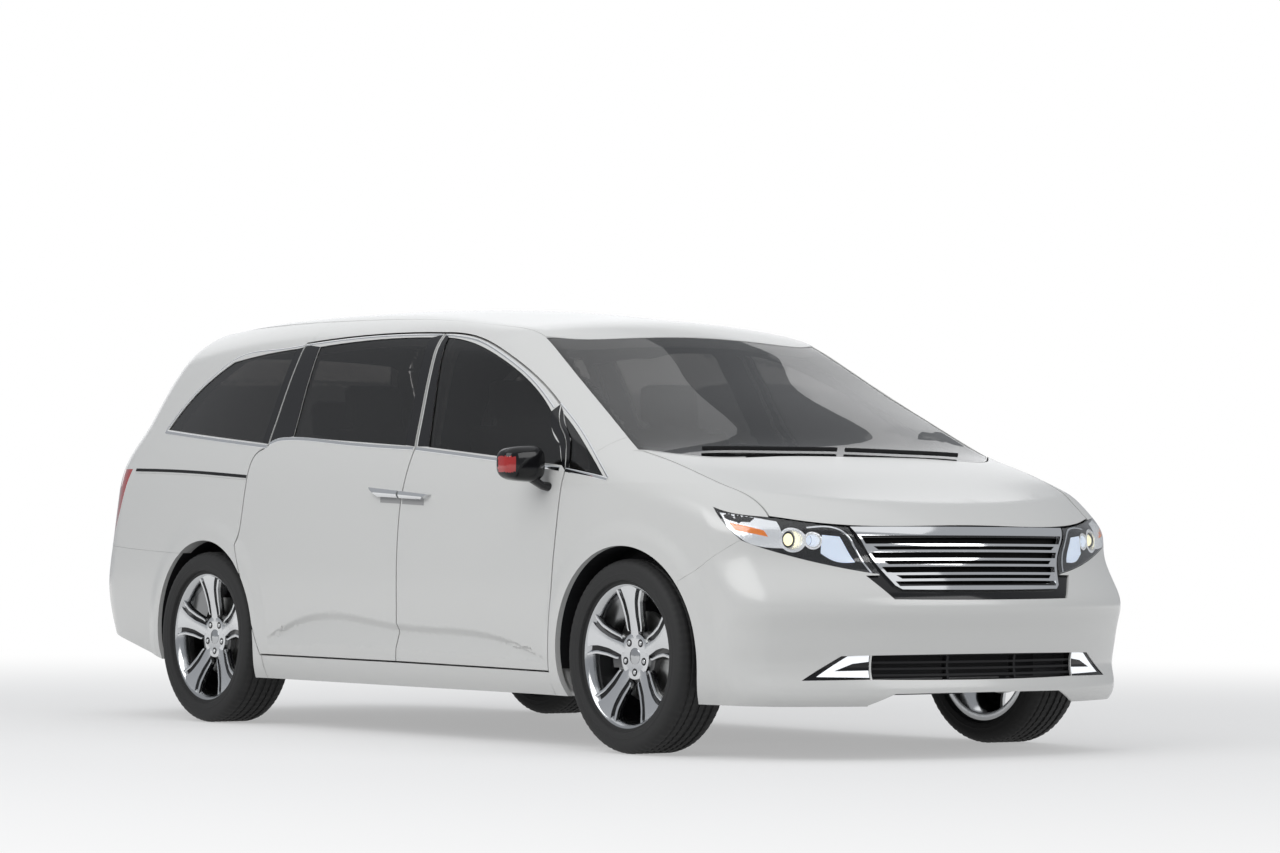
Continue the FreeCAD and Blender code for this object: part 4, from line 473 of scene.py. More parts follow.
def ring_faces(n, rings, closed=False):
    """Faces between rings of n points; closed joins the last ring to the first."""
    faces = []
    for k in range(rings if closed else rings - 1):
        here, there = k * n, (k + 1) % rings * n
        for i in range(n):
            j = (i + 1) % n
            faces.append((here + i, here + j, there + j, there + i))
    return faces


def caps(n, rings):
    """End faces on the first and last ring of n points."""
    return [tuple(range(n)), tuple(range((rings - 1) * n, rings * n))]


def patch(name, low, high, project, proud, depth, mat, body, slot, steps=(8, 24), crown=0.0):
    """Closed sheet laid on the skin between two lines, standing proud of it."""
    a, b = along(low, steps[1]), along(high, steps[1])
    rows = []
    for i in range(steps[0]):
        t = i / (steps[0] - 1)
        rows.append(a + (b - a) * t)
    flat = np.array(rows)
    shape = flat.shape[:2]
    p = project(flat.reshape(-1, 2)).reshape(*shape, 3)
    n = normals_at(p)
    t = np.linspace(-1, 1, shape[0])
    lift = proud - crown * (t ** 2)[:, None, None]
    points, faces = closed_grid(p + n * lift, p - n * depth)
    return solid(name, points, faces, mat, body, slot, smooth=True)


def along(line, n):
    """Points at even steps along a smooth line through a few points."""
    line = np.array(line, float)
    s = np.concatenate([[0], np.cumsum(np.linalg.norm(np.diff(line, axis=0), axis=1))])
    t = np.linspace(0, s[-1], n)
    if len(line) == 2:
        return line[0] + (line[1] - line[0]) * (t / s[-1])[:, None]
    return np.stack([Curve(list(zip(s, line[:, i])))(t) for i in range(line.shape[1])], axis=1)


def ribbon(name, centre, normal, width, height, mat, body, slot, sink=1.5):
    """Thin bar with rounded shoulders along a line on a surface."""
    tangent = np.gradient(centre, axis=0)
    tangent /= np.linalg.norm(tangent, axis=1, keepdims=True)
    side = np.cross(normal, tangent)
    side /= np.linalg.norm(side, axis=1, keepdims=True)
    shoulder = [(-0.5, height * 0.45), (-0.32, height * 0.9)]
    profile = [(-0.5, -sink)] + shoulder + [(0.0, height)]
    profile += [(-across, up) for across, up in reversed(shoulder)] + [(0.5, -sink)]
    points = []
    for c, n, s in zip(centre, normal, side):
        for across, up in profile:
            points.append(tuple(c + s * across * width + n * up))
    k = len(profile)
    faces = []
    for i in range(len(centre) - 1):
        for j in range(k):
            a, b = i * k + j, i * k + (j + 1) % k
            faces.append((a, b, b + k, a + k))
    faces.append(tuple(range(k)))
    faces.append(tuple(range((len(centre) - 1) * k, len(centre) * k)))
    return solid(name, points, faces, mat, body, slot, smooth=True)


def side_ribbon(name, line, side, width, height, mat, body, slot, n=40):
    p = from_side(along(line, n), side)
    return ribbon(name, p, normals_at(p), width, height, mat, body, slot)


def softened(node, name, voxel, rounds, mat):
    """A rounded copy of a node: even faces, then relaxed."""
    mesh = nodes[node].data.copy()
    mesh.materials.clear()
    obj = link(bpy.data.objects.new(name, mesh))
    remesh = obj.modifiers.new("even", "REMESH")
    remesh.mode = "VOXEL"
    remesh.voxel_size = voxel * MM
    relax = obj.modifiers.new("soft", "SMOOTH")
    relax.factor = 0.5
    relax.iterations = rounds
    bpy.context.view_layer.update()
    graph = bpy.context.evaluated_depsgraph_get()
    obj.data = bpy.data.meshes.new_from_object(obj.evaluated_get(graph))
    obj.modifiers.clear()
    obj.data.materials.append(mat)
    obj.data.polygons.foreach_set("use_smooth", np.ones(len(obj.data.polygons), bool))
    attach(obj, body_of(node))
    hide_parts(node)
    return obj


# Panels, glass and lamps that follow the skin
SIDES = (("left", 1), ("right", -1))
for node in ("bonnet", "front_bumper", "rear_bumper"):
    skinned(node, paint)
skinned("roof", paint, headliner, pick=lined)
skinned("tailgate", paint, soft_trim, pick=lined)
for side_name, s in SIDES:
    for node in ("body_side", "quarter_panel", "sliding_door", "front_wing", "front_door"):
        if node == "front_wing":
            skinned(node + "_" + side_name, paint)
        else:
            skinned(node + "_" + side_name, paint, soft_trim, pick=lined, fine=node != "quarter_panel")
    skinned("front_door_window_" + side_name, tinted_glass)
    finished("knuckle_" + side_name, cast_iron)
skinned("windscreen", screen_glass)
skinned("tailgate_window", tinted_glass)
skinned("sliding_door_windows", tinted_glass)
skinned("fixed_side_windows", tinted_glass)
skinned("headlamp_lenses", clear_lens)
skinned("tail_lamps", red_lens)
skinned("fog_lamps", gloss_black)
skinned("radiator_grille", chrome)
skinned("grille_surround", gloss_black)
skinned("air_dam", black_plastic)
skinned("cowl", black_plastic)
skinned("headlamp_units", black_plastic, sink=5.0)
for node, mat in (("floor_pan", black_steel), ("chassis_rails", black_steel), ("front_subframe", black_steel),
                  ("rear_axle", black_steel), ("engine", cast_iron), ("radiator", black_plastic),
                  ("fuel_tank", black_plastic), ("exhaust", steel), ("dashboard", soft_trim),
                  ("steering_column", soft_trim), ("steering_wheel", soft_trim),
                  ("door_hinges_and_strikers", steel)):
    finished(node, mat)


# Wheels. Spoke outlines are (radius, half width) about a spoke's own line.
SPOKES = 5
BLADE = [(44, 24), (100, 22), (150, 20), (200, 27), (240, 42), (264, 60)]
SLOT_OUTER = [(92, 34), (100, 38), (150, 39), (200, 47), (240, 66), (264, 88)]
RIB_OUTER = [(92, 42), (100, 46), (150, 50), (200, 59), (240, 79), (264, 104)]
LUG_CIRCLE, LUG_WELL, LUG_NUT, CAP_RADIUS = 60.0, 15.0, 8.5, 31.0
BARREL = [(277, 97), (277, 93), (271, 92), (262, 86), (252, 70), (246, 40), (243, -60), (250, -90),
          (277, -97), (270, -99), (243, -96), (236, -62), (239, 40), (245, 72), (256, 90), (268, 97)]
DISC = [(166, -13), (166, 13), (96, 13), (96, -13)]
DISC_HAT = [(98, -13), (98, 36), (92, 38), (50, 38), (50, -13)]


def dish(r):
    """How far the wheel's face stands out at a radius."""
    return 58.0 + 36.0 * ramp((np.asarray(r, float) - 40.0) / 250.0)


class Wheel:
    """Collects closed pieces of one wheel about its centre, then makes one mesh."""

    def __init__(self):
        self.points, self.faces, self.index = [], [], []

    def add(self, points, faces, material):
        base = len(self.points)
        self.points += [tuple(p) for p in points]
        self.faces += [tuple(base + i for i in f) for f in faces]
        self.index += [material] * len(faces)

    def spoke(self, turn, low, high, lift, deep, material, crown=0.0, cols=5):
        """A bar between two half-width lines, following the dish."""
        radii = np.linspace(max(low[0][0], high[0][0]), low[-1][0], 16)
        a = np.interp(radii, *zip(*low))
        b = np.interp(radii, *zip(*high))
        t = np.linspace(0, 1, cols)
        across = a[:, None] + (b - a)[:, None] * t
        height = dish(radii)[:, None] + lift - crown * (2 * t - 1) ** 2
        c, s = math.cos(turn), math.sin(turn)
        x = radii[:, None] * c - across * s
        z = radii[:, None] * s + across * c
        front = np.stack([x, height, z], axis=2)
        back = front - np.array([0, deep, 0])
        self.add(*closed_grid(front, back), material)

    def revolve(self, profile, material, n=80):
        k = len(profile)
        points = []
        for i in range(n):
            a = 2 * math.pi * i / n
            points += [(r * math.cos(a), o, r * math.sin(a)) for r, o in profile]
        self.add(points, ring_faces(k, n, closed=True), material)

    def drum(self, x, z, radius, low, high, material, n=20, chamfer=0.0):
        rings = [(radius, low), (radius, high - chamfer), (radius - chamfer, high)]
        points = []
        for r, o in rings:
            points += [(x + r * math.cos(2 * math.pi * i / n), o, z + r * math.sin(2 * math.pi * i / n))
                       for i in range(n)]
        self.add(points, caps(n, 3) + ring_faces(n, 3), material)


def wheel_mesh():
    """Alloy wheel seen from its outer side along +y."""
    wheel = Wheel()
    for k in range(SPOKES):
        turn = math.pi / 2 + 2 * math.pi * k / SPOKES
        wheel.spoke(turn, [(r, -w) for r, w in BLADE], BLADE, 0.0, 16.0, 0, crown=1.5, cols=7)
        wheel.spoke(turn, [(r, -w) for r, w in RIB_OUTER], RIB_OUTER, -15.0, 12.0, 1)
        for side in (1, -1):
            inner = [(r, side * w) for r, w in SLOT_OUTER]
            outer = [(r, side * w) for r, w in RIB_OUTER]
            wheel.spoke(turn, inner, outer, -1.0, 14.0, 0, crown=1.0, cols=4)
        x, z = LUG_CIRCLE * math.cos(turn + math.pi / SPOKES), LUG_CIRCLE * math.sin(turn + math.pi / SPOKES)
        wheel.drum(x, z, LUG_WELL, 40.0, dish(LUG_CIRCLE) + 0.9, 1)
        wheel.drum(x, z, LUG_NUT, 40.0, dish(LUG_CIRCLE) + 3.5, 2, n=12, chamfer=1.5)
    hub = [(r, float(dish(r)) + lift) for r, lift in ((86, -3.0), (80, -0.6), (60, 0.0), (40, 0.3))]
    wheel.revolve(hub + [(CAP_RADIUS + 2, 58.0), (0.5, 58.0), (0.5, 20.0), (86, 20.0)], 0, 60)
    cap = [(CAP_RADIUS, 59.5), (CAP_RADIUS - 3, 61.0), (0.5, 62.5), (0.5, 50.0), (CAP_RADIUS, 50.0)]
    wheel.revolve(cap, 2, 40)
    wheel.revolve(BARREL, 2)
    wheel.revolve(DISC, 3, 64)
    wheel.revolve(DISC_HAT, 4, 48)
    return wheel


def rim_piece(node, side, axle):
    wheel = wheel_mesh()
    centre = (AXLES[axle], side * HALF_TRACK, TYRE_RADIUS)
    points = [(centre[0] + x, centre[1] + side * y, centre[2] + z) for x, y, z in wheel.points]
    obj = solid(node + "_finish", points, wheel.faces, alloy, body_of(node), None, smooth=True)
    for mat in (gloss_black, polished, disc_iron, cast_iron):
        obj.data.materials.append(mat)
    obj.data.polygons.foreach_set("material_index", wheel.index)
    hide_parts(node)


TREAD_BLOCKS = 72
STEPS_PER_BLOCK = 3
TREAD_CUT = 3.2
TREAD_SWEEP = 0.012


def tyre_profile():
    """(radius, offset, groove share) round the tyre from the outer bead to the inner one."""
    half, r = TYRE_HALF_WIDTH, TYRE_RADIUS
    edge = RIM_RADIUS
    wall = [(edge - 11.0, 97.5, 0), (edge + 0.6, 99.5, 0), (edge + 2, 106.0, 0), (edge + 5, 112.0, 0),
            (edge + 12, 115.0, 0), (edge + 22, half - 3, 0), (edge + 26, half - 1.6, 0),
            (edge + 30, half - 3, 0), (r - 42, half - 0.5, 0), (r - 30, half - 1.5, 0), (r - 20, half - 5, 0),
            (r - 12, half - 10, 0.6), (r - 5, half - 20, 1), (r - 2, half - 32, 1)]
    tread = []
    for left, right in ((84, 70), (58, 38), (28, 8)):
        tread += [(r - 0.8, left, 1), (r, (left + right) / 2, 1), (r, right, 1), (r - 7, right - 1.5, 0)]
        tread += [(r - 7, right - 8, 0)]
    rest = [(rad, -o, share) for rad, o, share in reversed(wall + tread)]
    return wall + tread + rest


def tyre_mesh(node, side, axle):
    profile = tyre_profile()
    k = len(profile)
    n = TREAD_BLOCKS * STEPS_PER_BLOCK
    points = []
    for i in range(n):
        a = 2 * math.pi * i / n
        cut = TREAD_CUT if i % STEPS_PER_BLOCK == 0 else 0.0
        for rad, offset, share in profile:
            turn = a + TREAD_SWEEP * math.sin(offset / 40.0)
            rr = rad - cut * share
            points.append((AXLES[axle] + rr * math.cos(turn), side * (HALF_TRACK + offset),
                           TYRE_RADIUS + rr * math.sin(turn)))
    faces = ring_faces(k, n, closed=True)
    obj = solid(node + "_tread", points, faces, rubber, body_of(node), None, smooth=True)
    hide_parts(node)


for axle in AXLES:
    for side_name, s in SIDES:
        rim_piece("rim_%s_%s" % (axle, side_name), s, axle)
        tyre_mesh("tyre_%s_%s" % (axle, side_name), s, axle)

# Window trim. Lines are (x, z) in side view.
BELT_FRONT = [(1206, 1054), (775, 1092), (200, 1140)]
BELT_CORNER = [(1520, 1014), (1400, 1031), (1246, 1050)]
BELT_MIDDLE = [(180, 1141), (-400, 1171), (-802, 1191), (-900, 1180), (-924, 1172)]
BELT_REAR = [(-936, 1160), (-1300, 1188), (-1895, 1236)]
HEAD_FRONT = [(1030, 1290), (840, 1396), (603, 1496), (340, 1571), (100, 1600)]
HEAD_MIDDLE = [(66, 1602), (-401, 1608), (-922, 1588)]
HEAD_REAR = [(-936, 1587), (-1134, 1575), (-1500, 1540), (-1668, 1452), (-1814, 1341), (-1895, 1242)]
DIVIDER_DOOR = ([(1215, 1067), (1160, 1150), (1060, 1222), (1025, 1276)],
                [(1240, 1050), (1190, 1160), (1090, 1242), (1050, 1300)])
DIVIDER_BODY = ([(1246, 1052), (1196, 1162), (1096, 1244), (1062, 1296)],
                [(1264, 1054), (1214, 1168), (1122, 1240), (1092, 1272)])
PILLAR_CHROME = [(1050, 1306), (1315, 1162), (1525, 1020)]
B_DOOR = ([(206, 1150), (92, 1602)], [(286, 1148), (126, 1590)])
B_SLIDE = ([(118, 1156), (6, 1592)], [(182, 1150), (70, 1602)])
C_SLIDE = ([(-924, 1178), (-925, 1590)], [(-757, 1202), (-809, 1578)])
C_QUARTER = ([(-985, 1178), (-985, 1574)], [(-936, 1172), (-936, 1580)])
RAIL_CHANNEL = [(-2065, 1072), (-1600, 1062), (-1054, 1037)]
FRONT_HANDLE = ([(306, 938), (154, 944)], [(355, 958), (154, 972)])
SLIDE_HANDLE = ([(142, 945), (-5, 950)], [(142, 973), (-76, 987)])

BELT_WIDTH, HEAD_WIDTH, PILLAR_WIDTH = 15, 9, 8
CHROME_TRIM = (("belt_front", BELT_FRONT, BELT_WIDTH), ("belt_corner", BELT_CORNER, BELT_WIDTH),
               ("belt_middle", BELT_MIDDLE, BELT_WIDTH), ("belt_rear", BELT_REAR, BELT_WIDTH),
               ("head_front", HEAD_FRONT, HEAD_WIDTH), ("head_middle", HEAD_MIDDLE, HEAD_WIDTH),
               ("head_rear", HEAD_REAR, HEAD_WIDTH))
PILLARS = (("divider_door", DIVIDER_DOOR), ("divider_body", DIVIDER_BODY), ("b_door", B_DOOR),
           ("b_slide", B_SLIDE), ("c_slide", C_SLIDE), ("c_quarter", C_QUARTER))
HANDLES = (("front", FRONT_HANDLE), ("slide", SLIDE_HANDLE))
ON_FRONT_DOOR = ("belt_front", "head_front", "divider_door", "b_door", "front")
# How far the painted shade under each handle and the rail lip sit below their lines, in millimetres.
RECESS_SHADE_DROP, LIP_DROP = 22, 11


def carrier(name, side_name):
    """Body that a piece of side trim rides on."""
    return "front_door_assembly_" + side_name if name in ON_FRONT_DOOR else "vehicle"


for side_name, s in SIDES:
    def on_side(points, s=s):
        return from_side(points, s)

    for name, line, width in CHROME_TRIM:
        side_ribbon("chrome_%s_%s" % (name, side_name), line, s, width, 3.5, chrome, carrier(name, side_name),
                    "chrome")
    side_ribbon("chrome_pillar_" + side_name, PILLAR_CHROME, s, PILLAR_WIDTH, 3.0, chrome, "vehicle",
                "chrome")
    for name, (low, high) in PILLARS:
        patch("pillar_%s_%s" % (name, side_name), low, high, on_side, 1.2, 0.6, gloss_black,
              carrier(name, side_name), "gloss_black", steps=(5, 16))
    side_ribbon("rail_channel_" + side_name, RAIL_CHANNEL, s, 13, 1.0, black_plastic, "vehicle",
                "black_plastic")
    lip = [(x, z - LIP_DROP) for x, z in RAIL_CHANNEL]
    side_ribbon("rail_lip_" + side_name, lip, s, 6, 3.0, paint, "vehicle", "paint")
    for name, (low, high) in HANDLES:
        body = carrier(name, side_name)
        patch("handle_%s_%s" % (name, side_name), low, high, on_side, 26, 0.5, chrome, body, "chrome",
              steps=(7, 14), crown=9)
        # Below each handle, a flat mid-grey sheet just proud of the skin: painted shade for the recess under
        # the handle.
        shade_foot = [(x, z - RECESS_SHADE_DROP) for x, z in low]
        patch("handle_cup_%s_%s" % (name, side_name), shade_foot, low, on_side, 0.6, 0.5, handle_recess_painted_shade, body, "paint",
              steps=(4, 10))


# Door mirrors: a domed pod with its glass on the rear face, on a short stalk
POD_CENTRE = (1114.0, 1078.0, 1074.0)
POD_HALF = (60.0, 92.0, 74.0)
POD_POWER = 0.62
POD_FLAT = 44.0
POD_TAPER = 0.16
GLASS_HALF = (74.0, 52.0)
GLASS_POINTS = 40
STALK = (((1150.0, 958.0, 984.0), 24.0), ((1140.0, 1000.0, 992.0), 20.0),
         ((1124.0, 1044.0, 1024.0), 24.0))


def power(value):
    return np.sign(value) * np.abs(value) ** POD_POWER


def pod(side):
    """Points and faces of a mirror pod: a squared ellipsoid, flat at the rear and lower at its outer end."""
    rows, cols = 25, 48
    lat = np.linspace(-math.pi / 2, math.pi / 2, rows)[:, None]
    lon = np.linspace(0, 2 * math.pi, cols, endpoint=False)[None, :]
    v = power(np.sin(lat)) * np.ones_like(lon)
    u = power(np.cos(lat)) * power(np.cos(lon))
    w = power(np.cos(lat)) * power(np.sin(lon))
    x = POD_CENTRE[0] + np.maximum(u * POD_HALF[0], -POD_FLAT)
    y = POD_CENTRE[1] + v * POD_HALF[1]
    z = POD_CENTRE[2] + w * POD_HALF[2] * (1 - POD_TAPER * (v + 1) / 2)
    points = np.stack([x, side * y, z], axis=2).reshape(-1, 3)
    inner_rings = rows - 2
    faces = ring_faces(cols, inner_rings) + caps(cols, inner_rings)
    return points[cols:-cols], faces


def tube(line, side, n=24):
    """Round bar through (centre, radius) stations."""
    points = []
    for (x, y, z), radius in line:
        points += [(x + 1.2 * radius * math.cos(2 * math.pi * i / n), side * y,
                    z + 0.8 * radius * math.sin(2 * math.pi * i / n)) for i in range(n)]
    return points, ring_faces(n, len(line)) + caps(n, len(line))


for side_name, s in SIDES:
    body = "front_door_assembly_" + side_name
    points, faces = pod(s)
    shell = solid("mirror_pod_" + side_name, points, faces, gloss_black, body, None, smooth=True)
    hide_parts("mirror_" + side_name)
    solid("mirror_stalk_" + side_name, *tube(STALK, s), gloss_black, body, "gloss_black", smooth=True)
    turn = np.linspace(0, 2 * math.pi, GLASS_POINTS, endpoint=False)
    plate = []
    for x in (POD_CENTRE[0] - POD_FLAT - 0.8, POD_CENTRE[0] - POD_FLAT + 2.0):
        plate += [(x, s * (POD_CENTRE[1] + GLASS_HALF[0] * power(math.cos(t))),
                   POD_CENTRE[2] + GLASS_HALF[1] * power(math.sin(t))) for t in turn]
    faces = caps(GLASS_POINTS, 2) + ring_faces(GLASS_POINTS, 2)
    solid("mirror_glass_" + side_name, plate, faces, mirror_glass, body, "chrome")
    shell.data.materials.append(red_lens)
    centres = np.array([f.center[:] for f in shell.data.polygons]) / MM
    red = (np.abs(centres[:, 1]) > POD_CENTRE[1] + 58) & (centres[:, 0] > POD_CENTRE[0] - 20)
    red &= (centres[:, 2] > POD_CENTRE[2] - 34) & (centres[:, 2] < POD_CENTRE[2] + 26)
    shell.data.polygons.foreach_set("material_index", red.astype(int))

# Dark strips between each wheel house and its arch
STRIP_RADIUS, STRIP_WALL, STRIP_INNER, STRIP_INSET, STRIP_STEPS = 409.0, 3.0, 850.0, 9.0, 48
for axle, x in AXLES.items():
    for side_name, s in SIDES:
        angle = np.radians(np.linspace(-8, 188, STRIP_STEPS))
        circle = STRIP_RADIUS * np.stack([np.cos(angle), np.sin(angle)], axis=1) + (x, TYRE_RADIUS)
        outer = from_side(circle, s)
        outer[:, 1] -= s * STRIP_INSET
        inner = outer.copy()
        inner[:, 1] = s * STRIP_INNER
        away = np.stack([np.cos(angle), np.zeros(STRIP_STEPS), np.sin(angle)], axis=1)
        front = np.stack([outer, inner])
        points, faces = closed_grid(front, front + away * STRIP_WALL)
        solid("arch_strip_%s_%s" % (axle, side_name), points, faces, black_plastic, "vehicle",
              "black_plastic")


# Lamps
def ball(name, centre, radius, mat, body, squash=1.0, n=20):
    mesh = bpy.data.meshes.new(name)
    bm = bmesh.new()
    bmesh.ops.create_uvsphere(bm, u_segments=n, v_segments=n // 2, radius=radius * MM)
    bmesh.ops.scale(bm, vec=(squash, 1, 1), verts=bm.verts)
    bmesh.ops.translate(bm, vec=Vector([c * MM for c in centre]), verts=bm.verts)
    bm.to_mesh(mesh)
    bm.free()
    mesh.materials.append(mat)
    for face in mesh.polygons:
        face.use_smooth = True
    obj = link(bpy.data.objects.new(name, mesh))
    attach(obj, body)
    return obj


def lamp_bowl(name, centre, front_radius, back_radius, depth, mat, body, slot):
    """Thin open bowl behind the skin, with its round front edge following the skin."""
    n = 32
    rings = []
    for radius, back in ((front_radius, None), (back_radius, depth), (back_radius - 1.5, depth - 1.5),
                         (front_radius - 1.5, None)):
        angle = 2 * np.pi * np.arange(n) / n
        yz = radius * np.stack([np.cos(angle), np.sin(angle)], axis=1) + centre[1:]
        edge = from_front(yz)
        edge -= normals_at(edge) * 6.0
        if back is not None:
            edge[:, 0] = centre[0] - back
            edge[:, 1:] = yz
        rings.append(edge)
    points = [tuple(p) for r in rings for p in r]
    return solid(name, points, ring_faces(n, len(rings), closed=True), mat, body, slot, smooth=True)


# Lamp outlines are (y, z) seen from the front, y outwards.
REFLECTOR = ([(903, 839), (873, 792), (757, 764)], [(899, 893), (757, 862)])
AMBER = ([(888, 828), (802, 805)], [(896, 858), (812, 829)])
LED_BOX = ([(630, 747), (585, 720), (512, 716)], [(622, 814), (560, 808)])
LAMP_CHROME = [(668, 840), (544, 827), (512, 780), (463, 677)]
BOWL_BAND = [(723, 795, 41.0, 9.0), (655, 793, 29.0, 7.0)]
FOG_WHITE = ([(678, 304), (489, 301)], [(569, 377), (489, 380)])
FOG_DARK = ([(614, 324), (489, 326)], [(548, 350), (489, 357)])
UNIT_INSET, FOG_INSET = 4.4, 2.9
BOWL_DEPTH, BOWL_WALL, BOWL_BACK, LENS_SET = 46.0, 4.0, 0.62, 34.0
FACE_PATCHES = (
    ("lamp_reflector", REFLECTOR, UNIT_INSET, 0.0, 1.5, reflector, "lamp_white", (7, 16)),
    ("lamp_amber", AMBER, UNIT_INSET, 0.3, 1.0, amber, "lamp_white", (4, 10)),
    ("lamp_led", LED_BOX, UNIT_INSET, 0.0, 1.5, led_white, "lamp_white", (7, 12)),
    ("fog_white", FOG_WHITE, FOG_INSET, 0.3, 1.0, lamp_white, "lamp_white", (6, 14)),
    ("fog_dark", FOG_DARK, FOG_INSET, 0.8, 1.0, gloss_black, "gloss_black", (4, 10)),
)
for side_name, s in SIDES:
    def on_front(points, s=s, inset=UNIT_INSET):
        p = from_front([(s * y, z) for y, z in points])
        return p - normals_at(p) * inset

    for name, (low, high), inset, proud, depth, mat, slot, steps in FACE_PATCHES:
        patch(name + "_" + side_name, low, high, lambda q: on_front(q, inset=inset), proud, depth, mat,
              "vehicle", slot, steps)
    for tag, (y, z, radius, width), mat in zip(("main", "second"), BOWL_BAND, (projector, led_white)):
        angle = np.linspace(0, 2 * np.pi, 33)
        band = on_front([(y + radius * math.cos(t), z + radius * math.sin(t)) for t in angle])
        ribbon("lamp_band_%s_%s" % (tag, side_name), band, normals_at(band), width, 0.3, reflector, "vehicle",
               "lamp_white", sink=1.0)
        middle = on_front([(y, z)])[0]
        lamp_bowl("lamp_bowl_%s_%s" % (tag, side_name), (middle[0], s * y, z), radius - BOWL_WALL,
                  radius * BOWL_BACK, BOWL_DEPTH, reflector, "vehicle", "lamp_white")
        ball("lamp_lens_%s_%s" % (tag, side_name), (middle[0] - LENS_SET, s * y, z), radius * 0.66, mat,
             "vehicle", 0.6)
    edge = on_front(along(LAMP_CHROME, 40))
    ribbon("lamp_chrome_" + side_name, edge, normals_at(edge), 7, 0.35, chrome, "vehicle", "chrome", sink=1.0)

# Grille: dark mesh behind the bars, and wedges that join each pair of bars
GRILLE_PAIRS = ((751, 782), (699, 730), (647, 678))
GRILLE_EDGE = ((640.0, 382.0), (812.0, 484.0))
MESH_INSET = 24.0
MESH_HEIGHTS = ((622, 620), (826, 828))
WEDGE_TOP, WEDGE_FOOT = 18.0, 44.0


def grille_half(z):
    (low, narrow), (high, wide) = GRILLE_EDGE
    return narrow + (wide - narrow) * (z - low) / (high - low)


def on_nose(points, inset=0.0):
    p = from_front(points)
    return p - normals_at(p) * inset


mesh_foot, mesh_top = [[(-grille_half(z), z), (0, middle), (grille_half(z), z)] for z, middle in MESH_HEIGHTS]
patch("grille_mesh", mesh_foot, mesh_top, lambda q: on_nose(q, MESH_INSET), 0.0, 4.0, black_mesh, "vehicle",
      "black_plastic", steps=(10, 40))
for side_name, s in SIDES:
    for k, (low, high) in enumerate(GRILLE_PAIRS):
        foot = [(s * (grille_half(low) - WEDGE_FOOT), low), (s * (grille_half(low) + 3), low)]
        top = [(s * (grille_half(high) - WEDGE_TOP), high), (s * (grille_half(high) + 3), high)]
        patch("grille_wedge_%d_%s" % (k, side_name), foot, top, on_nose, 1.9, 8.0, chrome, "vehicle",
              "chrome", steps=(4, 5))

# Wipers. Lines are (x, y) seen from above.
WIPERS = (("near", [(1745, -60), (1728, -330), (1668, -640)]),
          ("far", [(1722, 560), (1752, 250), (1748, -20)]))
for name, line in WIPERS:
    p = from_above(along(line, 30))
    up = normals_at(p)
    ribbon("wiper_blade_" + name, p + up * 6, up, 9, 12, black_plastic, "vehicle", "black_plastic", sink=4)

# Seats
SEAT_VOXEL, QUICK_SEAT_VOXEL, SEAT_ROUNDS = 15.0, 24.0, 10
voxel = SEAT_VOXEL
seat_covers = softened("seats", "seat_covers", voxel, SEAT_ROUNDS, fabric)

# Stage, light and camera
CAMERA_PLACE = Vector((14.733, -10.590, 0.841))
CAMERA_TURN = 0.934096
CAMERA_PITCH = -0.022578
CAMERA_ROLL = 0.0063964
FOCAL_PIXELS = 4404.068
FRAME_PIXELS = (1280, 853)
SENSOR = 36.0
FADE_START = 3.0
FADE_END = 11.0
NEAR_GLOW = 0.4


def stage_material(name, value):
    mat = bpy.data.materials.new(name)
    mat.use_nodes = True
    tree = mat.node_tree
    tree.nodes.clear()
    out = tree.nodes.new("ShaderNodeOutputMaterial")
    mix = tree.nodes.new("ShaderNodeMixShader")
    plain = tree.nodes.new("ShaderNodeBsdfDiffuse")
    plain.inputs["Color"].default_value = (value, value, value, 1)
    shine = tree.nodes.new("ShaderNodeEmission")
    shine.inputs["Strength"].default_value = 1.0
    path = tree.nodes.new("ShaderNodeLightPath")
    total = tree.nodes.new("ShaderNodeMath")
    total.operation = "MAXIMUM"
    more = tree.nodes.new("ShaderNodeMath")
    more.operation = "MAXIMUM"
    tree.links.new(path.outputs["Is Camera Ray"], total.inputs[0])
    tree.links.new(path.outputs["Is Glossy Ray"], total.inputs[1])
    tree.links.new(total.outputs[0], more.inputs[0])
    tree.links.new(path.outputs["Is Transmission Ray"], more.inputs[1])
    place = tree.nodes.new("ShaderNodeTexCoord")
    reach = tree.nodes.new("ShaderNodeVectorMath")
    reach.operation = "LENGTH"
    fade = tree.nodes.new("ShaderNodeMapRange")
    fade.interpolation_type = "SMOOTHSTEP"
    fade.inputs["From Min"].default_value = FADE_START
    fade.inputs["From Max"].default_value = FADE_END
    fade.inputs["To Min"].default_value = NEAR_GLOW
    fade.inputs["To Max"].default_value = 1.0
    tree.links.new(place.outputs["Object"], reach.inputs[0])
    tree.links.new(reach.outputs["Value"], fade.inputs["Value"])
    half = tree.nodes.new("ShaderNodeMath")
    half.operation = "MULTIPLY"
    tree.links.new(fade.outputs["Result"], half.inputs[1])
    tree.links.new(more.outputs[0], half.inputs[0])
    tree.links.new(half.outputs[0], mix.inputs["Fac"])
    tree.links.new(plain.outputs[0], mix.inputs[1])
    tree.links.new(shine.outputs[0], mix.inputs[2])
    tree.links.new(mix.outputs[0], out.inputs["Surface"])
    return mat


bpy.ops.mesh.primitive_plane_add(size=80, location=(0, 0, -0.0005))
floor = bpy.context.object
floor.name = "stage_floor"
floor.data.materials.append(stage_material("stage_white", 0.7))

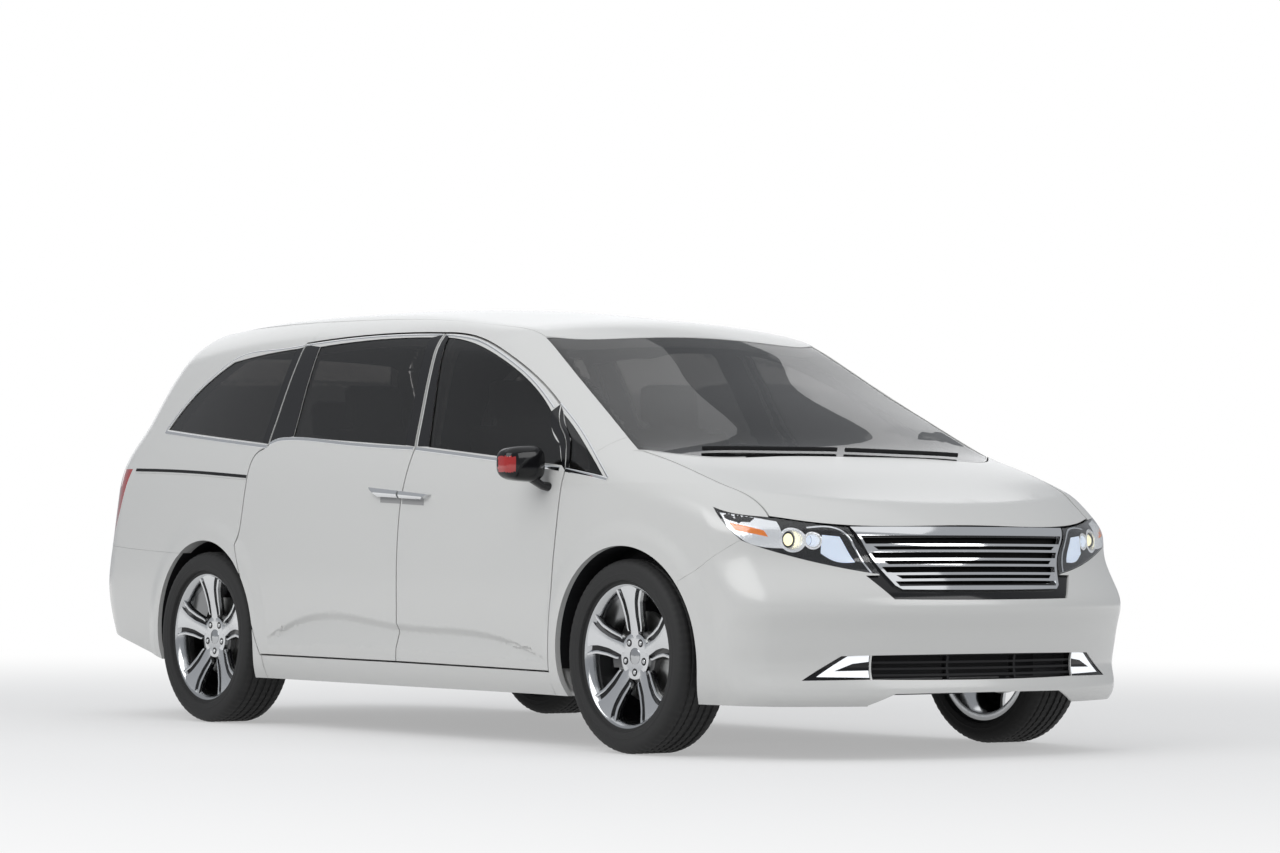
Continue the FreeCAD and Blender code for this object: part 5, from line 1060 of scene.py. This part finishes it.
world = bpy.data.worlds.new("studio")
world.use_nodes = True
bpy.context.scene.world = world
tree = world.node_tree
tree.nodes.clear()
out = tree.nodes.new("ShaderNodeOutputWorld")
mix = tree.nodes.new("ShaderNodeMixShader")
soft_light = tree.nodes.new("ShaderNodeBackground")
soft_light.inputs["Color"].default_value = (0.92, 0.95, 1.0, 1)
soft_light.inputs["Strength"].default_value = 0.42
backdrop = tree.nodes.new("ShaderNodeBackground")
backdrop.inputs["Color"].default_value = (1, 1, 1, 1)
backdrop.inputs["Strength"].default_value = 1.0
path = tree.nodes.new("ShaderNodeLightPath")
tree.links.new(path.outputs["Is Camera Ray"], mix.inputs["Fac"])
tree.links.new(soft_light.outputs[0], mix.inputs[1])
tree.links.new(backdrop.outputs[0], mix.inputs[2])
tree.links.new(mix.outputs[0], out.inputs["Surface"])


def soft_box(name, place, aim, size, power):
    lamp = bpy.data.lights.new(name, "AREA")
    lamp.shape = "RECTANGLE"
    lamp.size, lamp.size_y = size
    lamp.energy = power
    obj = link(bpy.data.objects.new(name, lamp))
    obj.location = place
    obj.rotation_euler = (Vector(aim) - Vector(place)).to_track_quat("-Z", "Y").to_euler()


soft_box("key_box", (2.0, -9.0, 7.0), (0, 0, 0.6), (11, 6), 620)
soft_box("top_box", (0.0, 0.0, 8.5), (0, 0, 0), (16, 11), 250)
soft_box("nose_box", (10.0, 4.0, 5.0), (1.5, 0, 0.6), (6, 5), 250)
soft_box("back_box", (-9.0, 5.0, 5.0), (0, 0, 0.8), (11, 7), 200)

a, e = CAMERA_TURN, CAMERA_PITCH
back = Vector((math.sin(a) * math.cos(e), -math.cos(a) * math.cos(e), math.sin(e)))
right = Vector((math.cos(a), math.sin(a), 0))
up = back.cross(right)
cr, sr = math.cos(CAMERA_ROLL), math.sin(CAMERA_ROLL)
right, up = right * cr + up * sr, up * cr - right * sr
lens = bpy.data.cameras.new("camera")
lens.sensor_fit = "HORIZONTAL"
lens.sensor_width = SENSOR
lens.lens = FOCAL_PIXELS / FRAME_PIXELS[0] * SENSOR
lens.clip_end = 200
camera = link(bpy.data.objects.new("camera", lens))
columns = Matrix((right, up, back)).transposed().to_4x4()
camera.matrix_world = Matrix.Translation(CAMERA_PLACE) @ columns
bpy.context.scene.camera = camera
bpy.context.scene.view_settings.view_transform = "Standard"
